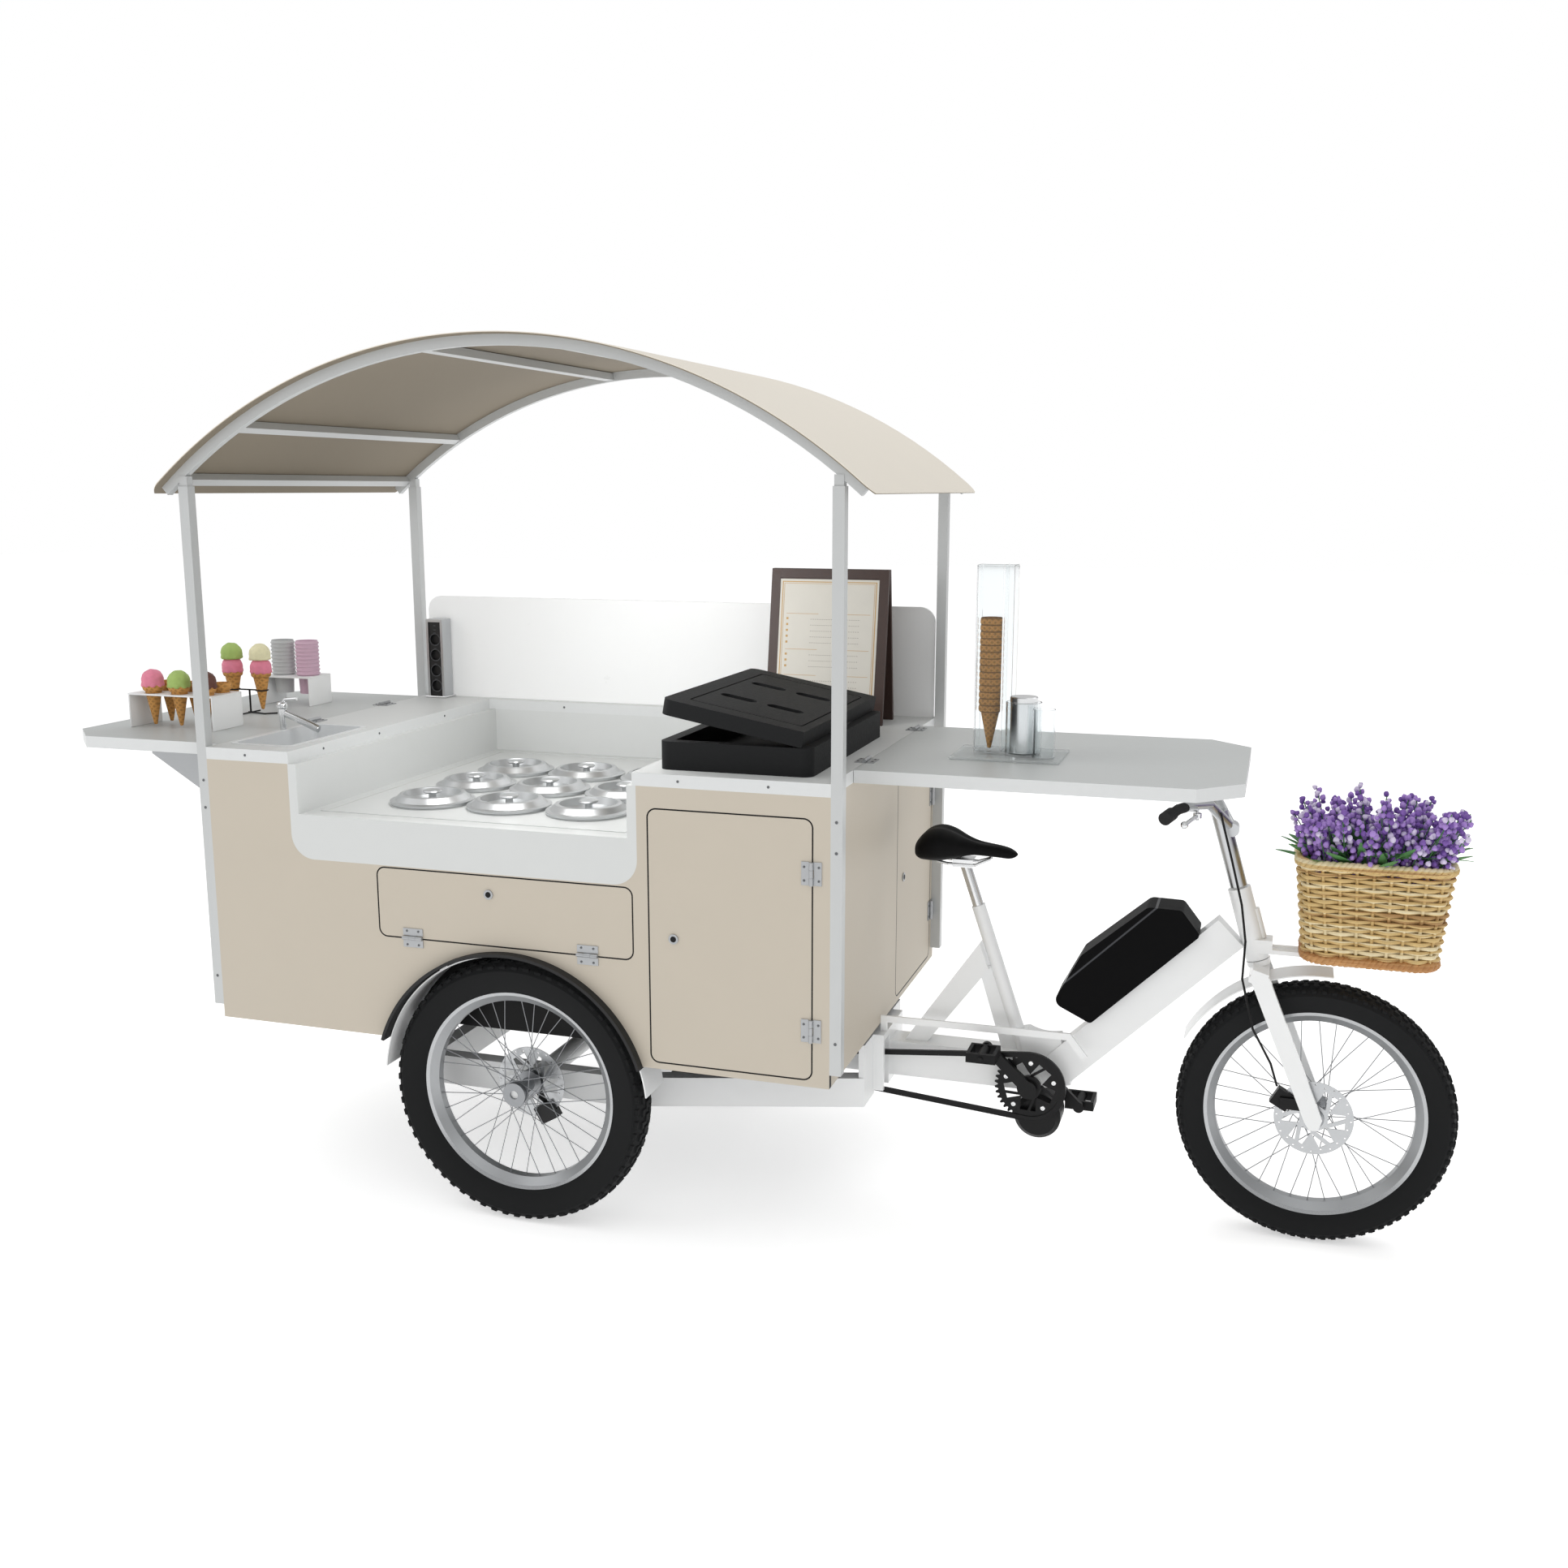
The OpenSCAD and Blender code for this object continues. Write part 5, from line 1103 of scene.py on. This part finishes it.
def menu_sheet():
    left, right = -0.028, 0.234
    foot, head = 0.026, 0.366
    margin, rule_end, rule, bullet = 0.020, 0.105, 0.0010, 0.0055
    dots_start, dot_pitch, dots_in_row = 0.085, 0.006, 22
    board_y, sunk = 0.292, 0.0018
    board_run, board_rise = 62, 388
    lean = math.atan(board_run / board_rise)
    place = Matrix.Translation((0, board_y + sunk, GOODS_Z)) @ Matrix.Rotation(-lean, 4, "X")

    def strip(xa, xb, za, zb, front=-0.0012):
        return block((xa, front, za), (xb, -0.0006, zb), 0)

    def lay(piece, name, finish):
        piece.data.transform(place)
        show(piece, name, finish, "cart")

    paper = Finish("menu_paper").dress(tone(220, 217, 208), 0.7, tint=0.03, grain=30, bump=0.05)
    lay(block((left, -0.0008, foot), (right, 0.0008, head), 0.0004, 1), "menu_sheet", paper)
    gold = []
    for inset, width in ((0.006, 0.0022), (0.011, 0.0009)):
        for xa, xb in ((left + inset, left + inset + width), (right - inset - width, right - inset)):
            gold.append(strip(xa, xb, foot + inset, head - inset))
        for za, zb in ((foot + inset, foot + inset + width), (head - inset - width, head - inset)):
            gold.append(strip(left + inset, right - inset, za, zb, -0.0011))
    rows = [0.262, 0.247, 0.232, 0.217, 0.202, 0.171, 0.156, 0.141, 0.105, 0.090, 0.075]
    for z in (0.277, 0.186, 0.120):
        gold.append(strip(left + margin, left + rule_end, z, z + rule))
        gold.append(strip(right - rule_end, right - margin, z, z + rule))
    for z in rows:
        gold.append(strip(left + margin, left + margin + bullet, z, z + bullet))
    lay(join(gold), "menu_rules", Finish("menu_gold").dress(tone(196, 158, 96), 0.55, tint=0.1))
    starts = [left + dots_start + dot_pitch * k for k in range(dots_in_row)]
    dots = [strip(x, x + 0.0022, z + 0.001, z + 0.0022) for z in rows for x in starts]
    lay(join(dots), "menu_dots", Finish("menu_ink").dress(tone(120, 112, 102), 0.7, tint=0.1))


# Small fittings: screws, locks, bolts, socket marks, tap head and tower collar, and painted shade round the
# doors

# Each door's face, its two ends along that face, its foot and its head
DOOR_OUTLINES = (("right", -0.714, -0.090, 0.662, 0.820), ("right", -0.049, 0.314, 0.436, 0.997),
                 ("front", 0.084, 0.452, 0.436, 0.997))
DOOR_CORNER = 0.018
# The black strip round each door is painted shade of its gap: how far out it lies, its half width and its
# rise
GAP_SHADE_OUT = 0.0020
GAP_SHADE_HALF = 0.0015
GAP_SHADE_RISE = 0.0004


def door_gap_shade():
    """A flat black strip on the panel round each door: painted shade of the door's gap."""
    beads = []
    for side, a0, a1, z0, z1 in DOOR_OUTLINES:
        left, right = a0 + DOOR_CORNER, a1 - DOOR_CORNER
        low, high = z0 + DOOR_CORNER, z1 - DOOR_CORNER
        reach = DOOR_CORNER + GAP_SHADE_OUT
        points = []
        for k, (a, z) in enumerate(((right, high), (left, high), (left, low), (right, low))):
            for i in range(9):
                angle = (k + i / 8) * math.pi / 2
                points.append((a + reach * math.cos(angle), 0, z + reach * math.sin(angle)))
        bead = wire(points, GAP_SHADE_HALF, True, 1)
        bead.data.transform(Matrix.Diagonal((1, GAP_SHADE_RISE / GAP_SHADE_HALF, 1, 1)))
        if side == "right":
            bead.data.transform(Matrix.Translation((0, SIDE_FACE, 0)))
        else:
            bead.data.transform(Matrix.Translation((FRONT_FACE, 0, 0)) @ Matrix.Rotation(math.pi / 2, 4, "Z"))
        beads.append(bead)
    show(join(beads), "door_gap_shade", black_plastic, "cart", (), 60)


def screw_head(place, way, radius):
    profile = [(SCREW_AXIS_R, 0.0), (radius, 0.0), (radius, 0.0006), (radius * 0.8, 0.0013),
               (radius * 0.35, 0.0015), (radius * 0.3, 0.0006), (SCREW_AXIS_R, 0.0006)]
    return lathe(profile, 16, place, facing(way))


def panel_screws():
    post_r, edge_r = 0.0034, 0.0030
    edge_z = 1.060
    screws = [screw_head((x, SIDE_FACE, z), RIGHT, post_r)
              for x in (-1.1685, 0.3665) for z in (0.995, 0.930, 0.520)]
    screws += [screw_head((x, SIDE_FACE, edge_z), RIGHT, edge_r) for x in (-1.05, 0.02, 0.22)]
    screws += [screw_head((-0.935, y, edge_z), AHEAD, edge_r) for y in (-0.36, -0.12, 0.20)]
    screws.append(screw_head((-0.70, 0.450, edge_z), RIGHT, edge_r))
    show(join(screws), "panel_screws", screw_steel, "cart")


def lock_barrels():
    outward_right = Matrix.Rotation(math.pi / 2, 4, "X")
    outward_front = Matrix.Rotation(math.pi / 2, 4, "Y")
    profile = [(SCREW_AXIS_R, 0.0), (0.0062, 0.0), (0.0066, 0.0004), (0.0056, 0.0008), (0.0052, 0.0003),
               (SCREW_AXIS_R, 0.0003)]
    for body, place, turn in (("drop_door_body", (-0.434, -0.503, 0.779), outward_right),
                              ("tall_door_body", (0.006, -0.503, 0.7165), outward_right),
                              ("front_door_body", (0.357, 0.146, 0.7245), outward_front)):
        barrel = lathe(profile, 28)
        keyhole = block((-0.0009, -0.0036, 0.0001), (0.0009, 0.0036, 0.0007), 0.0003, 1)
        piece = join([barrel, keyhole])
        piece.data.transform(Matrix.Translation(place) @ turn)
        show(piece, f"lock_barrel_{body}", black_metal, body)


def hinge_screws():
    """Two screws in each leaf: the fixed leaf's ride on the cart, the other's on the door or flap."""
    leaf_thick, head_r = 0.002, 0.0027
    side, front, top = SIDE_FACE - leaf_thick, FRONT_FACE + leaf_thick, BOARD_TOP + leaf_thick
    # Each pair of hinges: moving body, way the screws face, axis along the pin, places of both leaves, starts
    pairs = (("tall_door_body", RIGHT, 2, (0.330, side, 0), (0.298, side, 0), (0.519, 0.859)),
             ("front_door_body", AHEAD, 2, (front, 0.468, 0), (front, 0.436, 0), (0.536, 0.847)),
             ("drop_door_body", RIGHT, 0, (0, side, 0.646), (0, side, 0.678), (-0.221, -0.654)),
             ("front_flap_body", UP, 1, (0.338, 0, top), (0.370, 0, top), (-0.240, 0.240)),
             ("rear_flap_body", UP, 1, (-1.140, 0, top), (-1.172, 0, top), (-0.097, 0.233)))
    heads = {}
    for rise in (0.010, 0.039):
        for body, way, axis, fixed, moving, starts in pairs:
            for start in starts:
                for owner, place in (("cart", fixed), (body, moving)):
                    place = list(place)
                    place[axis] = start + rise
                    heads.setdefault(owner, []).append(screw_head(place, way, head_r))
    for body, found in heads.items():
        show(join(found), f"hinge_screws_{body}", screw_steel, body)


def chainring_bolts():
    crank_x, face_y, crank_z = 0.710, -0.0616, 0.301
    circle_r = 0.058
    bolt_count, first_turn = 5, 56
    bolt = [(SCREW_AXIS_R, 0.0), (0.0056, 0.0), (0.0056, 0.0016), (0.0048, 0.0024), (0.0028, 0.0024),
            (0.0026, 0.0010), (SCREW_AXIS_R, 0.0010)]
    bolts = []
    for i in range(bolt_count):
        angle = -math.radians(first_turn + 360 / bolt_count * i)
        place = (crank_x + circle_r * math.cos(angle), face_y, crank_z + circle_r * math.sin(angle))
        bolts.append(lathe(bolt, 20, place, facing(RIGHT)))
    show(join(bolts), "chainring_bolts", polished_lid, "crank")


def socket_marks():
    """Two lamps at the tower's head, and a ring and a bar at each of its four sockets."""
    middle_x, face_y = -1.092, 0.4328
    bar_low, bar_high = (-1.0960, 0.4322), (-1.0880, 0.4335)
    first_socket, socket_pitch = 0.034, 0.044

    def bar(z, height, edge):
        return block((*bar_low, z), (*bar_high, z + height), edge, 1)

    ring = [(0.0150, 0.0), (0.0164, -0.0008), (0.0176, 0.0), (0.0176, 0.0010), (0.0150, 0.0010),
            (0.0150, 0.0)]
    marks = [bar(z, 0.0030, 0.0004) for z in (1.2780, 1.2660)]
    for i in range(4):
        z = BOARD_TOP + first_socket + socket_pitch * i
        marks.append(bar(z + 0.0185, 0.0015, 0.0003))
        marks.append(lathe(ring, 32, (middle_x, face_y, z), ALONG_Y))
    show(join(marks), "socket_marks", socket_grey, "tower_body")


def tap_head():
    tap_x, tap_y = -1.1455, -0.218
    profile = [(SCREW_AXIS_R, 0.0), (0.0125, 0.0), (0.0135, 0.003), (0.0130, 0.012), (0.0100, 0.0165),
               (SCREW_AXIS_R, 0.0180)]
    cap = lathe(profile, 32, (tap_x, tap_y, 1.1262))
    lever = wire([(tap_x, tap_y, 1.1400), (-1.1350, tap_y, 1.1500), (-1.1020, tap_y, 1.1530)], 0.0042)
    spout = wire([(-1.1355, tap_y, 1.1150), (-1.0630, tap_y, 1.0890), (-1.0440, tap_y, 1.0800)],
                 0.0092, False, 3)
    show(join([cap, lever, spout]), "tap_head", polished_lid, "tap_body", (), 50)


def tower_collar():
    outer_low, outer_high = (-1.1260, 0.4220), (-1.0580, 0.4860)
    inner_low, inner_high = (-1.1183, 0.4297), (-1.0657, 0.4783)
    collar = block((*outer_low, 1.0742), (*outer_high, 1.0800), 0.008, 4)
    cut(collar, block((*inner_low, 1.06), (*inner_high, 1.09), 0))
    show(collar, "tower_collar", polished_lid, "cart")


place_camera()
studio()
dress_nodes()
tyres()
saddle()
basket()
flowers()
cones_and_scoops()
wire_stand()
cup_stacks()
dispenser()
menu_sheet()
door_gap_shade()
panel_screws()
lock_barrels()
hinge_screws()
chainring_bolts()
socket_marks()
tap_head()
tower_collar()
